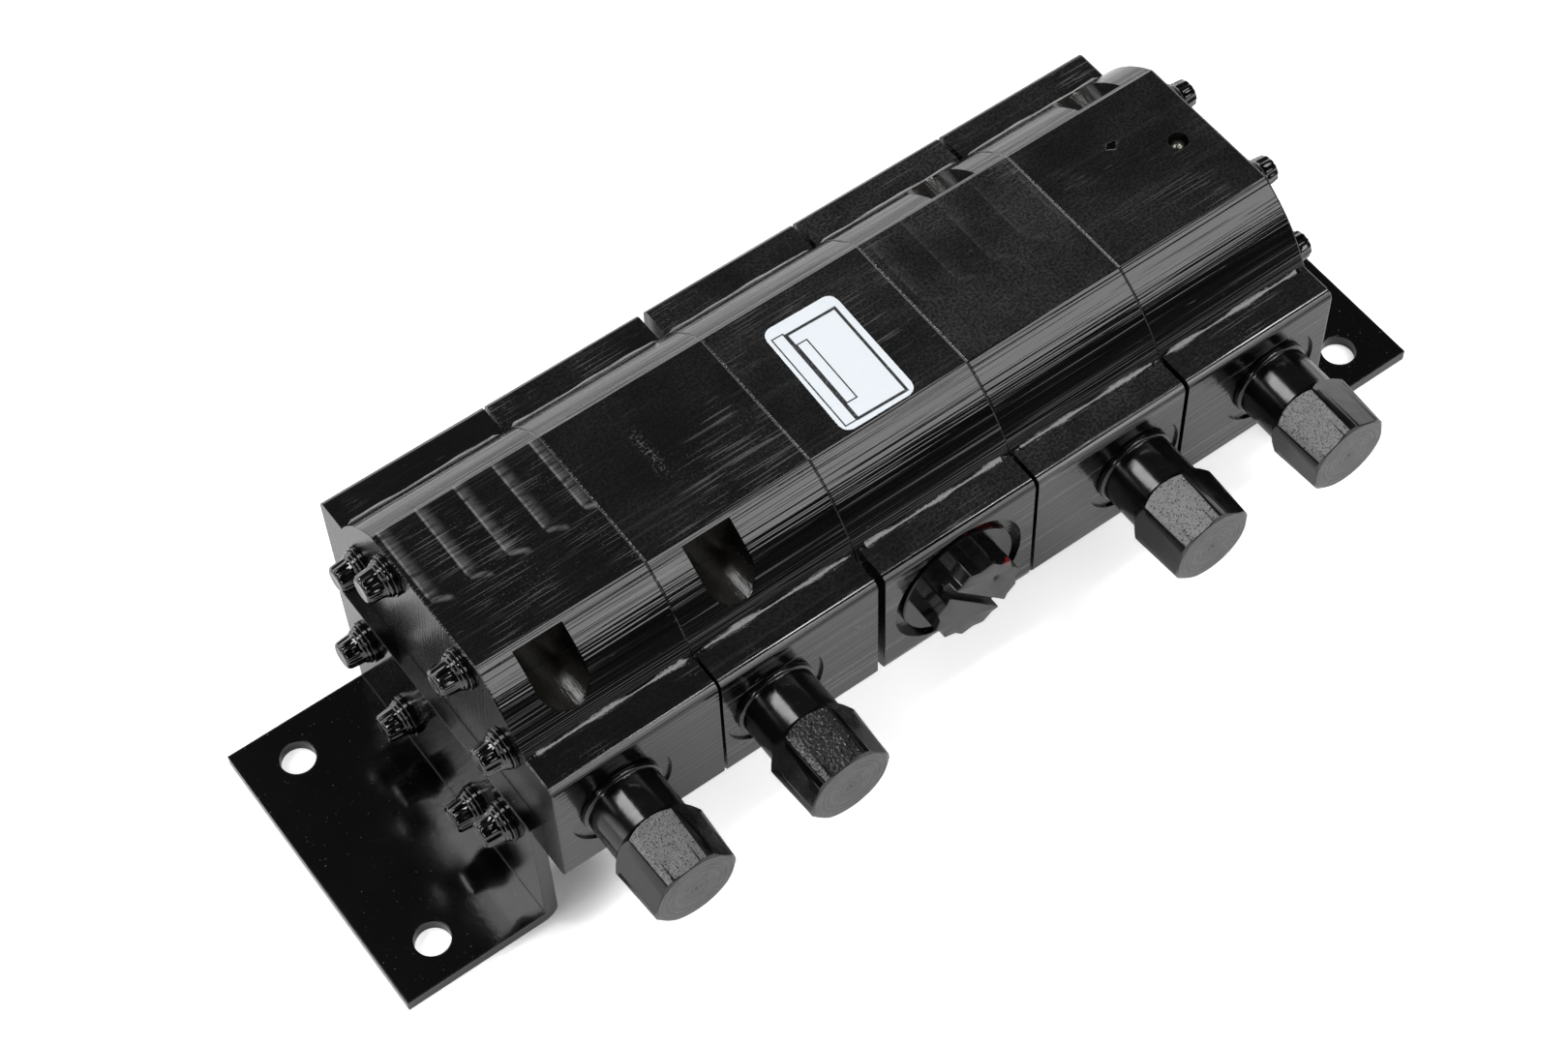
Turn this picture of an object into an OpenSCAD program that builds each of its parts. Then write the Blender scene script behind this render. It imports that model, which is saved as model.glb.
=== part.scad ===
// Gear flow divider: four geared sections and a centre inlet block, clamped end to end on two feet.
// X runs along the gear shafts, -Y is the valve and inlet side, +Z is up, and the floor is Z = 0.

/* [Body] */
// Length of one block along the gear shafts
block_l = 41.4; // [38:0.1:50]
// Radius of the round core
core_r = 39.5; // [38:0.1:44]
// Half height between the top and bottom flats
flat_h = 34.5; // [33:0.1:37]
// Half width across the side bosses
boss_y = 44.2; // [43:0.1:50]
// Half height of a side boss
boss_z = 18.4; // [17:0.1:22]
// Corner round of a side boss
boss_round = 2; // [0.5:0.1:3]
// Height of the body's middle above the floor
axis_z = 45.5; // [44:0.1:60]
// Cut-back of the bosses at each side of the first joint from the left
relief_1 = 0.4; // [0.2:0.1:1.5]
// Cut-back of the bosses at each side of the second joint
relief_2 = 1; // [0.2:0.1:1.5]
// Cut-back of the bosses at each side of the third joint
relief_3 = 0.5; // [0.2:0.1:1.5]
// Cut-back of the bosses at each side of the fourth joint
relief_4 = 0.6; // [0.2:0.1:1.5]

/* [Milled pockets] */
// Distance of a pocket's middle from its block's outboard face
pocket_u = 14.2; // [10:0.1:20]
// Half width of a pocket
pocket_r = 6; // [4:0.1:7]
// Distance of a pocket's flat wall from the body's middle plane
pocket_y = 20.4; // [20:0.1:26]
// Height of a pocket's lowest point above the body's middle
pocket_z = 22.2; // [21:0.1:26]

/* [Gears] */
// Distance between the two gear axes
gear_c = 24; // [22:0.1:25]
// Teeth on each gear
teeth = 12; // [11:1:14]
// Pressure angle in degrees
pressure_deg = 25; // [22:0.5:28]
// Width of a gear
gear_l = 14; // [8:0.1:16]
// Thinning of each tooth flank for backlash
flank_cut = 0.04; // [0.02:0.01:0.1]
// Gap between gear tips and the chamber wall
tip_gap = 0.1; // [0.05:0.01:0.2]
// Gap at each side of a gear
side_gap = 0.05; // [0.02:0.01:0.1]
// Radius of the common shaft and of the idler journals
shaft_r = 5.5; // [4.5:0.1:6]
// Running gap around a journal
journal_gap = 0.05; // [0.02:0.01:0.1]
// Width of a gear key
key_w = 3; // [2:0.1:4]
// Height of a gear key
key_h = 3; // [2:0.1:4]

/* [Chambers] */
// Wall left at the outboard face of a section
floor_t = 5; // [4:0.1:7]
// Length of an outboard bearing block
bearing_l = 16; // [12:0.1:18]
// Gap around the bearing blocks
bearing_gap = 0.05; // [0.02:0.01:0.1]
// Width of a seal groove
seal_w = 1.4; // [1.2:0.1:1.5]
// Depth of a seal groove
seal_d = 1.3; // [1:0.1:2]
// Wall between the chamber and the section seal
seal_wall = 1; // [0.8:0.1:1.2]

/* [Oil ways] */
// Distance of the inlet gallery from the body's middle plane
gallery_y = 24; // [23.6:0.1:25]
// Radius of the inlet gallery
gallery_r = 4; // [3:0.1:4.5]
// Half height of the windows between the chamber and the oil ways
window_z = 5; // [3:0.1:6]
// Distance of an outlet port's axis from its section's outboard face
outlet_u = 20; // [18:0.1:23]
// Wall radius of an outlet port's thread
outlet_r = 8.73; // [6:0.01:10]
// Length of an outlet port's bore
outlet_l = 22; // [18:0.1:24]
// Spotface radius of an outlet port
outlet_spot_r = 15; // [12:0.1:17]
// Spotface depth of an outlet port
outlet_spot_d = 0.8; // [0.4:0.1:2]
// Depth of the sealing cone in an outlet port
outlet_cone_l = 2.5; // [1:0.1:3]
// Wall radius of the inlet port's thread
inlet_r = 10.2; // [8:0.1:12]
// Length of the inlet port's bore
inlet_l = 20; // [18:0.1:24]
// Spotface radius of the inlet port
inlet_spot_r = 17; // [14:0.1:18]
// Spotface depth of the inlet port
inlet_spot_d = 2; // [1:0.1:3]

/* [Relief valves] */
// Distance of a valve's axis from the outboard face in an end section
valve_u_end = 15.8; // [14:0.1:18]
// Distance of a valve's axis from the outboard face in an inner section
valve_u_inner = 13.5; // [12:0.1:18]
// Wall radius of a valve's bore
valve_r = 6.5; // [6:0.1:7.5]
// Distance of a valve bore's floor from the body's middle plane
valve_floor = 14; // [12:0.1:15]
// Radius of the pilot hole that feeds a valve
pilot_r = 2.2; // [1.5:0.1:2.6]
// Spotface radius of a valve
valve_spot_r = 12.5; // [11.5:0.1:14]
// Spotface depth of a valve
valve_spot_d = 0.6; // [0.3:0.1:1]
// How far a cap stands out from its boss
cap_out = 26.4; // [20:0.1:30]
// Length of a cap's round barrel outside its boss
cap_barrel_l = 11.5; // [8:0.1:14]
// Radius of a cap's round barrel
cap_barrel_r = 9.1; // [8.7:0.1:9.4]
// Radius of the thin ring at a cap's foot
cap_ring_r = 9.8; // [9.5:0.1:11]
// Height of the thin ring at a cap's foot
cap_ring_h = 1.3; // [0.8:0.1:2]
// Width across the flats of a cap's hexagon
cap_af = 19; // [18:0.1:22]
// Angle at which each cap's hexagon came to rest, left to right
cap_turns = [9, 9, 22, 34]; // [0:1:60]
// Length of a cap's threaded shank
cap_shank_l = 13; // [10:0.1:15]
// Radius of the spring bore inside a cap
cap_bore_r = 4.6; // [4.4:0.1:5]
// Depth of the spring bore from the inner end of a cap
cap_bore_l = 17.4; // [14:0.1:20]
// Height of a valve seat
seat_h = 5; // [4:0.1:5.5]
// Radius of a poppet's body
poppet_r = 3.75; // [3:0.05:4]
// Length of a poppet from its seat to its spring collar
poppet_l = 4; // [3:0.1:5]
// Wire radius of a valve spring
wire_r = 0.6; // [0.4:0.05:0.8]
// Middle radius of a valve spring's coils
coil_r = 3.6; // [3.4:0.1:3.9]
// Turns of a valve spring
coil_turns = 8; // [6:1:11]

/* [Inlet plug] */
// Radius of the plug's flange
plug_flange_r = 14.7; // [13:0.1:16]
// Radius over the lobes of the plug's head
plug_head_r = 11.3; // [10:0.1:12.5]
// How far the plug's head stands out from the boss
plug_out = 6.2; // [4:0.1:9]
// Lobes on the plug's head
plug_lobes = 12; // [8:1:16]
// Radius of a lobe
plug_lobe_r = 1.7; // [1.2:0.1:2]
// Width of the screwdriver slot
plug_slot_w = 2; // [1.2:0.1:3]
// Angle at which the plug's slot came to rest
plug_turn = -50; // [-90:1:90]
// Length of the plug's threaded shank
plug_shank_l = 14; // [10:0.1:17]

/* [Feet] */
// Thickness of a foot bracket
plate_t = 3.2; // [2.5:0.1:4]
// Width of a foot bracket
plate_w = 75; // [72:0.1:84]
// Reach of a foot from the body's end face
foot_l = 38.6; // [34:0.1:50]
// Height of a bracket's leg
leg_h = 41.1; // [38:0.1:43]
// Outer radius of the bend
bend_r = 3.8; // [3.3:0.1:5]
// Distance of a foot hole from the body's end face
foot_hole_u = 26.1; // [20:0.1:32]
// Half distance between the two holes of a foot
foot_hole_y = 27.8; // [22:0.1:31]
// Radius of a foot hole
foot_hole_r = 4.15; // [3:0.05:5]

/* [Fasteners] */
// Nearer coordinate of a tie bolt from the body's middle
bolt_a = 13.9; // [13.6:0.1:15]
// Farther coordinate of a tie bolt from the body's middle
bolt_b = 27.3; // [27:0.1:28.6]
// Shank radius of a tie bolt
bolt_r = 3.17; // [2.5:0.01:3.4]
// Gap around a tie bolt's shank
bolt_gap = 0.25; // [0.1:0.05:0.4]
// Length of tie bolt in the centre block
bolt_bite = 14; // [10:0.1:16]
// Radius over the points of a twelve-point head
head_r = 3.55; // [3.3:0.05:3.9]
// Height of a twelve-point head above its flange
head_h = 4.5; // [4:0.1:7]
// Radius of a tie bolt's flange
flange_r = 4.4; // [4.2:0.1:4.6]
// Thickness of a tie bolt's flange
flange_h = 1.3; // [1:0.1:2]
// Radius of a washer
washer_r = 4.9; // [4.7:0.1:5.4]
// Thickness of a washer
washer_h = 1.2; // [0.8:0.1:2]
// Distance of a dowel from the body's middle plane
dowel_y = 34; // [33:0.1:36]
// Radius of a dowel
dowel_r = 2; // [1.5:0.1:2.2]
// Length of a dowel
dowel_l = 10; // [8:0.1:12]
// Distance of the ball plug from the right end face
ball_u = 8.6; // [7:0.1:12]
// Radius of the ball plug
ball_r = 2.3; // [1.8:0.1:2.6]

/* [Hidden] */
$fn = 64;

eps = 0.01;
body_l = 5 * block_l;

// Gear tooth sizes
module_mm = gear_c / teeth;
pitch_r = gear_c / 2;
base_r = pitch_r * cos(pressure_deg);
tip_r = pitch_r + module_mm;
root_r = pitch_r - 1.25 * module_mm;
flank_steps = 4;
chamber_r = tip_r + tip_gap;
bearing_r = chamber_r - bearing_gap;
gear_u = floor_t + bearing_l + side_gap;
inner_bearing_u = gear_u + gear_l + side_gap;
inner_bearing_l = block_l - inner_bearing_u;
journal_r = shaft_r + journal_gap;
key_top = shaft_r + key_h / 2;
key_bottom = shaft_r - key_h / 2;
fit_gap = 0.02;

// Seals between the blocks
seal_in_r = chamber_r + seal_wall;
seal_out_r = seal_in_r + seal_w;
groove_land = 0.8;
ring_w = 1.5;
ring_out_r = min(gallery_y - seal_out_r - groove_land, gallery_r + groove_land + ring_w);
ring_in_r = ring_out_r - ring_w;

// Valve parts, as distances from the body's middle plane
valve_face = boss_y - valve_spot_d;
cap_inner = valve_face - cap_shank_l;
cap_shank_r = valve_r - 0.15;
cap_neck_l = 2.4;
cap_neck_r = valve_r - 0.6;
cap_seat_r = valve_r + 1.7;
cap_ring_major = valve_r + 0.45;
cap_ring_minor = 0.85;
seat_top = valve_floor + seat_h;
seat_gap = 0.07;
seat_cone_r = poppet_r;
collar_u = seat_top + poppet_l;
collar_h = 1.2;
collar_r = valve_r - 1.1;
stem_r = coil_r - wire_r - 0.5;
stem_l = 5.8;
spring_u = collar_u + collar_h + 0.05;
spring_l = cap_inner + cap_bore_l - 0.05 - spring_u;
wire_steps = 12;
wire_sides = 5;

// Inlet plug, as distances from the body's middle plane
plug_face = boss_y - inlet_spot_d;
plug_shank_r = inlet_r - 0.2;
plug_neck_l = 2.8;
plug_neck_r = plug_shank_r - 0.7;
plug_seat_r = inlet_r + 1.8;
plug_ring_major = inlet_r + 0.35;
plug_ring_minor = 1.15;

// Colours
paint = [0.06, 0.06, 0.065];
steel = [0.62, 0.63, 0.65];
bronze = [0.62, 0.45, 0.22];
rubber = [0.1, 0.1, 0.1];
plastic = [0.55, 0.1, 0.08];

// One tooth of the involute profile
function involute_deg(a) = tan(a) * 180 / PI - a;
function thin_deg() = flank_cut / pitch_r * 180 / PI;
function half_deg(r) = 90 / teeth - thin_deg() + involute_deg(pressure_deg) - involute_deg(acos(base_r / r));
function polar(r, a) = [r * cos(a), r * sin(a)];
function step_r(i) = base_r + (tip_r - base_r) * i / flank_steps;
function near_flank(a) = [for (i = [0 : flank_steps]) polar(step_r(i), a - half_deg(step_r(i)))];
function far_flank(a) = [for (i = [flank_steps : -1 : 0]) polar(step_r(i), a + half_deg(step_r(i)))];
function tooth(a) = concat(
    [polar(root_r, a - half_deg(base_r))], near_flank(a), far_flank(a), [polar(root_r, a + half_deg(base_r))]
);
function gear_points(turn) = [for (i = [0 : teeth - 1]) each tooth(turn + i * 360 / teeth)];

// One valve spring's wire
function coil_z(t) =
    t < 1 ? wire_r + 2.04 * wire_r * t
    : t > coil_turns - 1 ? spring_l - wire_r - 2.04 * wire_r * (coil_turns - t)
    : wire_r * 3.04 + (t - 1) * (spring_l - 6.08 * wire_r) / (coil_turns - 2);
function wire_point(t, b) = [
    (coil_r + wire_r * cos(b)) * cos(360 * t),
    (coil_r + wire_r * cos(b)) * sin(360 * t),
    coil_z(t) + wire_r * sin(b)
];
wire_rings = coil_turns * wire_steps;
function wire_points() = [
    for (i = [0 : wire_rings]) for (j = [0 : wire_sides - 1])
        wire_point(i / wire_steps, 360 * j / wire_sides)
];
function wire_index(i, j) = i * wire_sides + j % wire_sides;
function wire_faces() = concat(
    [for (i = [0 : wire_rings - 1]) for (j = [0 : wire_sides - 1])
        [wire_index(i, j), wire_index(i + 1, j), wire_index(i, j + 1)]],
    [for (i = [0 : wire_rings - 1]) for (j = [0 : wire_sides - 1])
        [wire_index(i + 1, j), wire_index(i + 1, j + 1), wire_index(i, j + 1)]],
    [[for (j = [0 : wire_sides - 1]) j]],
    [[for (j = [wire_sides - 1 : -1 : 0]) wire_index(wire_rings, j)]]
);

// Section numbers run from the left end: 0, 1, then the centre block, then 2, 3
function is_end(k) = k == 0 || k == 3;
function valve_u(k) = is_end(k) ? valve_u_end : valve_u_inner;
function outboard_relief(k) = is_end(k) ? 0 : k == 1 ? relief_1 : relief_4;
function inboard_relief(k) = k == 0 ? relief_1 : k == 1 ? relief_2 : k == 2 ? relief_3 : relief_4;

// Puts a section's own frame, X from its outboard face inwards, in place
module section(k) {
    start = -body_l / 2 + (is_end(k) ? 0 : block_l);
    if (k < 2)
        translate([start, 0, axis_z]) children();
    else
        mirror([1, 0, 0]) translate([start, 0, axis_z]) children();
}

// Puts an end's own frame, X from the body's end face inwards, in place
module end_of(side) {
    if (side < 0)
        translate([-body_l / 2, 0, 0]) children();
    else
        mirror([1, 0, 0]) translate([-body_l / 2, 0, 0]) children();
}

// Extrudes a Y-Z profile along X
module along_x(l) {
    rotate([90, 0, 90]) linear_extrude(l) children();
}

// Turns a shape built along Z to point out of the front, -Y
module to_front() {
    rotate([90, 0, 0]) children();
}

// Turns a shape built along Z to point out of the back, +Y
module to_back() {
    rotate([-90, 0, 0]) children();
}

module rounded_box(w, h, r) {
    square([w - 2 * r, h], center = true);
    square([w, h - 2 * r], center = true);
    for (sx = [-1, 1]) for (sy = [-1, 1])
        translate([sx * (w / 2 - r), sy * (h / 2 - r)]) circle(r);
}

module core_profile() {
    intersection() {
        circle(core_r);
        square([3 * core_r, 2 * flat_h], center = true);
    }
}

module figure_eight(r) {
    for (s = [-1, 1]) translate([0, s * gear_c / 2]) circle(r);
}

module stadium(r) {
    figure_eight(r);
    square([2 * r, gear_c], center = true);
}

module seal_profile(gap) {
    difference() {
        stadium(seal_out_r - gap);
        stadium(seal_in_r + gap);
    }
}

module ring_profile(gap) {
    translate([-gallery_y, 0]) difference() {
        circle(ring_out_r - gap);
        circle(ring_in_r + gap);
    }
}

module at_bolts(drop) {
    for (sy = [-1, 1]) for (sz = [-1, 1]) for (swap = [0, 1])
        translate([
            sz < 0 ? -drop : 0,
            sy * (swap == 0 ? bolt_a : bolt_b),
            sz * (swap == 0 ? bolt_b : bolt_a)
        ]) children();
}

module block_body(low_relief, high_relief) {
    along_x(block_l) core_profile();
    translate([low_relief, 0, 0])
        along_x(block_l - low_relief - high_relief) rounded_box(2 * boss_y, 2 * boss_z, boss_round);
}

module dowel_holes(u) {
    for (s = [-1, 1])
        translate([u, s * dowel_y, 0])
            rotate([0, 90, 0]) cylinder(h = dowel_l + 0.4, r = dowel_r + fit_gap, center = true);
}

// Milled pocket in a top lobe, cut square to the body's middle plane
module lobe_pocket(sy) {
    translate([pocket_u, sy * pocket_y, pocket_z + pocket_r])
        rotate([-90 * sy, 0, 0]) cylinder(h = core_r, r = pocket_r);
    translate([pocket_u - pocket_r, sy > 0 ? pocket_y : -pocket_y - core_r, pocket_z + pocket_r])
        cube([2 * pocket_r, core_r, core_r]);
}

module valve_bore(k) {
    translate([valve_u(k), 0, 0]) to_front() {
        translate([0, 0, valve_floor]) cylinder(h = boss_y, r = valve_r);
        translate([0, 0, pitch_r / 2]) cylinder(h = valve_floor, r = pilot_r);
        translate([0, 0, valve_face - cap_neck_l]) cylinder(h = boss_y, r = cap_seat_r);
        translate([0, 0, valve_face]) cylinder(h = boss_y, r = valve_spot_r);
    }
}

module outlet_bore() {
    face = boss_y - outlet_spot_d;
    translate([outlet_u, 0, 0]) to_back() {
        translate([0, 0, boss_y - outlet_l]) cylinder(h = boss_y, r = outlet_r);
        translate([0, 0, face - outlet_cone_l])
            cylinder(h = outlet_cone_l, r1 = outlet_r, r2 = outlet_r + 1.6);
        translate([0, 0, face]) cylinder(h = boss_y, r = outlet_spot_r);
    }
}

module oil_windows(k) {
    front = pitch_r / 2;
    translate([gear_u + 1, -gallery_y, -window_z]) cube([gear_l - 2, gallery_y - front, 2 * window_z]);
    low = valve_u(k) - pilot_r - 0.5;
    translate([low, front, -window_z])
        cube([gear_u + gear_l - 1 - low, boss_y - outlet_l + 0.5 - front, 2 * window_z]);
}

module gear_housing(k) {
    color(paint) section(k) difference() {
        block_body(outboard_relief(k), inboard_relief(k));
        translate([floor_t, 0, 0]) along_x(block_l) figure_eight(chamber_r);
        at_bolts(0) rotate([0, 90, 0]) cylinder(h = 3 * block_l, r = bolt_r + bolt_gap, center = true);
        if (!is_end(k))
            translate([-eps, 0, gear_c / 2]) rotate([0, 90, 0]) cylinder(h = 2 * floor_t, r = shaft_r + 0.35);
        translate([is_end(k) ? valve_u(k) : -eps, -gallery_y, 0])
            rotate([0, 90, 0]) cylinder(h = 2 * block_l, r = gallery_r);
        oil_windows(k);
        valve_bore(k);
        outlet_bore();
        lobe_pocket(k < 2 ? -1 : 1);
        translate([block_l - seal_d, 0, 0]) along_x(block_l) seal_profile(0);
        translate([block_l - seal_d, 0, 0]) along_x(block_l) ring_profile(0);
        dowel_holes(block_l);
        if (!is_end(k))
            dowel_holes(0);
        if (k == 3)
            translate([ball_u, 0, pitch_r + shaft_r + 2]) cylinder(h = core_r, r = ball_r + fit_gap);
    }
}

module centre_inlet_block() {
    color(paint) translate([-block_l / 2, 0, axis_z]) difference() {
        block_body(relief_2, relief_3);
        translate([-eps, 0, gear_c / 2]) rotate([0, 90, 0]) cylinder(h = 2 * block_l, r = shaft_r + 0.35);
        translate([-eps, -gallery_y, 0]) rotate([0, 90, 0]) cylinder(h = 2 * block_l, r = gallery_r);
        at_bolts(0) rotate([0, 90, 0]) {
            translate([0, 0, -eps]) cylinder(h = bolt_bite + 3, r = bolt_r + fit_gap);
            translate([0, 0, block_l - bolt_bite - 3]) cylinder(h = block_l, r = bolt_r + fit_gap);
        }
        translate([block_l / 2, 0, 0]) to_front() {
            translate([0, 0, boss_y - inlet_l]) cylinder(h = boss_y, r = inlet_r);
            translate([0, 0, plug_face - plug_neck_l]) cylinder(h = boss_y, r = plug_seat_r);
            translate([0, 0, plug_face]) cylinder(h = boss_y, r = inlet_spot_r);
        }
        dowel_holes(0);
        dowel_holes(block_l);
    }
}

module foot_bracket(side) {
    color(paint) end_of(side) difference() {
        translate([0, plate_w / 2, 0]) rotate([90, 0, 0]) linear_extrude(plate_w) difference() {
            union() {
                translate([-plate_t, 0]) square([plate_t, leg_h]);
                translate([-foot_l, 0]) square([foot_l, plate_t]);
            }
            difference() {
                translate([-bend_r, 0]) square(bend_r);
                translate([-bend_r, bend_r]) circle(bend_r);
            }
        }
        translate([0, 0, axis_z]) at_bolts(0)
            rotate([0, 90, 0]) cylinder(h = block_l, r = bolt_r + bolt_gap, center = true);
        for (s = [-1, 1])
            translate([-foot_hole_u, s * foot_hole_y, -eps]) cylinder(h = 2 * plate_t, r = foot_hole_r);
    }
}

module outer_bearing(k) {
    color(bronze) section(k) difference() {
        translate([floor_t, 0, 0]) along_x(bearing_l) difference() {
            figure_eight(bearing_r);
            figure_eight(journal_r);
        }
        translate([valve_u(k), 0, 0]) to_front() cylinder(h = 2 * tip_r, r = pilot_r, center = true);
    }
}

module inner_bearing(k) {
    color(bronze) section(k) translate([inner_bearing_u, 0, 0]) along_x(inner_bearing_l) difference() {
        figure_eight(bearing_r);
        figure_eight(journal_r);
    }
}

module common_drive_shaft() {
    color(steel) difference() {
        translate([0, 0, axis_z + gear_c / 2])
            rotate([0, 90, 0]) cylinder(h = body_l - 2 * floor_t - 0.8, r = shaft_r, center = true);
        for (k = [0 : 3])
            section(k) translate([gear_u + 1, -key_w / 2 - fit_gap, gear_c / 2 + key_bottom - fit_gap])
                cube([gear_l - 2, key_w + 2 * fit_gap, key_h]);
    }
}

module gear_keys() {
    color(steel) for (k = [0 : 3])
        section(k) translate([gear_u + 1 + fit_gap, -key_w / 2, gear_c / 2 + key_bottom])
            cube([gear_l - 2 - 2 * fit_gap, key_w, key_h]);
}

module drive_gear(k) {
    color(steel) section(k) translate([gear_u, 0, gear_c / 2]) along_x(gear_l) difference() {
        polygon(gear_points(90));
        circle(shaft_r + fit_gap);
        translate([-key_w / 2 - fit_gap, 0]) square([key_w + 2 * fit_gap, key_top + 2 * fit_gap]);
    }
}

module idler_gear(k) {
    color(steel) section(k) translate([0, 0, -gear_c / 2]) {
        translate([gear_u, 0, 0]) along_x(gear_l) polygon(gear_points(90 + 180 / teeth));
        translate([floor_t + 0.4, 0, 0])
            rotate([0, 90, 0]) cylinder(h = block_l - floor_t - 0.8, r = shaft_r);
    }
}

module section_seals() {
    color(rubber) for (k = [0 : 3])
        section(k) translate([block_l - seal_d + 0.05, 0, 0]) along_x(seal_d - 0.1) seal_profile(0.1);
}

module gallery_o_rings() {
    color(rubber) for (k = [0 : 3])
        section(k) translate([block_l - seal_d + 0.05, 0, 0]) along_x(seal_d - 0.1) ring_profile(0.1);
}

module dowel_pins() {
    color(steel) for (k = [0 : 3])
        section(k) for (s = [-1, 1])
            translate([block_l, s * dowel_y, 0])
                rotate([0, 90, 0]) cylinder(h = dowel_l, r = dowel_r, center = true);
}

module at_valve(k) {
    section(k) translate([valve_u(k), 0, 0]) to_front() children();
}

module relief_cap(k) {
    hex_r = cap_af / sqrt(3);
    hex_turn = k < 2 ? cap_turns[k] : -cap_turns[k];
    end = boss_y + cap_out;
    hex_start = boss_y + cap_barrel_l;
    color(paint) at_valve(k) difference() {
        union() {
            translate([0, 0, cap_inner]) cylinder(h = cap_shank_l - cap_neck_l, r = cap_shank_r);
            translate([0, 0, cap_inner]) cylinder(h = cap_shank_l, r = cap_neck_r);
            translate([0, 0, valve_face]) cylinder(h = hex_start - valve_face, r = cap_barrel_r);
            translate([0, 0, valve_face]) cylinder(h = cap_ring_h, r = cap_ring_r);
            intersection() {
                translate([0, 0, hex_start])
                    rotate([0, 0, hex_turn]) cylinder(h = end - hex_start, r = hex_r, $fn = 6);
                rotate_extrude() polygon([
                    [0, hex_start - 1], [hex_r + 1, hex_start - 1], [hex_r + 1, end - 1],
                    [cap_af / 2 - 0.2, end], [0, end]
                ]);
            }
        }
        translate([0, 0, cap_inner - eps]) cylinder(h = cap_bore_l + eps, r = cap_bore_r);
        translate([0, 0, end - 0.4]) cylinder(h = 1, r = 0.8);
    }
}

module relief_spring(k) {
    color(steel) at_valve(k) translate([0, 0, spring_u])
        polyhedron(points = wire_points(), faces = wire_faces());
}

module relief_poppet(k) {
    nose = seat_top - 1.8;
    color(steel) at_valve(k) rotate_extrude() polygon([
        [0, nose],
        [seat_cone_r - (seat_top - nose) - seat_gap, nose],
        [seat_cone_r, seat_top + seat_gap],
        [seat_cone_r, collar_u],
        [collar_r, collar_u],
        [collar_r, collar_u + collar_h],
        [stem_r, collar_u + collar_h],
        [stem_r, collar_u + collar_h + stem_l],
        [0, collar_u + collar_h + stem_l]
    ]);
}

module relief_seat(k) {
    color(steel) at_valve(k) rotate_extrude() polygon([
        [pilot_r, valve_floor],
        [valve_r - 0.05, valve_floor],
        [valve_r - 0.05, seat_top],
        [seat_cone_r, seat_top],
        [pilot_r, seat_top - (seat_cone_r - pilot_r)]
    ]);
}

module cap_o_rings() {
    color(rubber) for (k = [0 : 3])
        at_valve(k) translate([0, 0, valve_face - cap_neck_l / 2])
            rotate_extrude() translate([cap_ring_major, 0]) circle(cap_ring_minor);
}

module inlet_plug() {
    color(plastic) translate([0, 0, axis_z]) to_front() difference() {
        union() {
            translate([0, 0, plug_face]) cylinder(h = inlet_spot_d, r = plug_flange_r);
            translate([0, 0, boss_y - eps]) rotate(plug_turn) linear_extrude(plug_out + eps) {
                circle(plug_head_r - 1.1);
                for (i = [0 : plug_lobes - 1])
                    rotate(i * 360 / plug_lobes) translate([plug_head_r - plug_lobe_r, 0]) circle(plug_lobe_r);
            }
            translate([0, 0, plug_face - plug_shank_l])
                cylinder(h = plug_shank_l - plug_neck_l, r = plug_shank_r);
            translate([0, 0, plug_face - plug_shank_l]) cylinder(h = plug_shank_l, r = plug_neck_r);
        }
        translate([0, 0, plug_face - plug_shank_l - eps]) cylinder(h = plug_shank_l, r = plug_neck_r - 2);
        rotate(plug_turn) translate([-plug_head_r - 1, -plug_slot_w / 2, boss_y + plug_out - 2.4])
            cube([2 * plug_head_r + 2, plug_slot_w, 5]);
    }
}

module inlet_plug_o_ring() {
    color(rubber) translate([0, 0, axis_z]) to_front() translate([0, 0, plug_face - plug_neck_l / 2])
        rotate_extrude() translate([plug_ring_major, 0]) circle(plug_ring_minor);
}

module ball_plug() {
    color(steel) section(3) translate([ball_u, 0, flat_h - ball_r - 0.7]) sphere(ball_r);
}

module tie_bolts(side) {
    color(paint) end_of(side) translate([0, 0, axis_z]) at_bolts(plate_t) rotate([0, 90, 0]) {
        translate([0, 0, -washer_h - flange_h]) cylinder(h = flange_h, r = flange_r);
        translate([0, 0, -washer_h - eps]) cylinder(h = washer_h + 2 * block_l + bolt_bite, r = bolt_r);
        translate([0, 0, -washer_h - flange_h - head_h]) linear_extrude(head_h + eps) {
            circle(head_r, $fn = 6);
            rotate(30) circle(head_r, $fn = 6);
        }
    }
}

module washers(side) {
    color(paint) end_of(side) translate([0, 0, axis_z]) at_bolts(plate_t)
        rotate([0, 90, 0]) translate([0, 0, -washer_h]) difference() {
            cylinder(h = washer_h, r = washer_r);
            translate([0, 0, -eps]) cylinder(h = 2 * washer_h, r = bolt_r + bolt_gap);
        }
}

gear_housing(0);  // left_end_housing
gear_housing(1);  // left_inner_housing
centre_inlet_block();
gear_housing(2);  // right_inner_housing
gear_housing(3);  // right_end_housing
foot_bracket(-1);  // left_foot_bracket
foot_bracket(1);  // right_foot_bracket
outer_bearing(0);  // left_end_outer_bearing
inner_bearing(0);  // left_end_inner_bearing
outer_bearing(1);  // left_inner_outer_bearing
inner_bearing(1);  // left_inner_inner_bearing
outer_bearing(2);  // right_inner_outer_bearing
inner_bearing(2);  // right_inner_inner_bearing
outer_bearing(3);  // right_end_outer_bearing
inner_bearing(3);  // right_end_inner_bearing
common_drive_shaft();
gear_keys();
drive_gear(0);  // left_end_drive_gear
drive_gear(1);  // left_inner_drive_gear
drive_gear(2);  // right_inner_drive_gear
drive_gear(3);  // right_end_drive_gear
idler_gear(0);  // left_end_idler_gear
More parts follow.
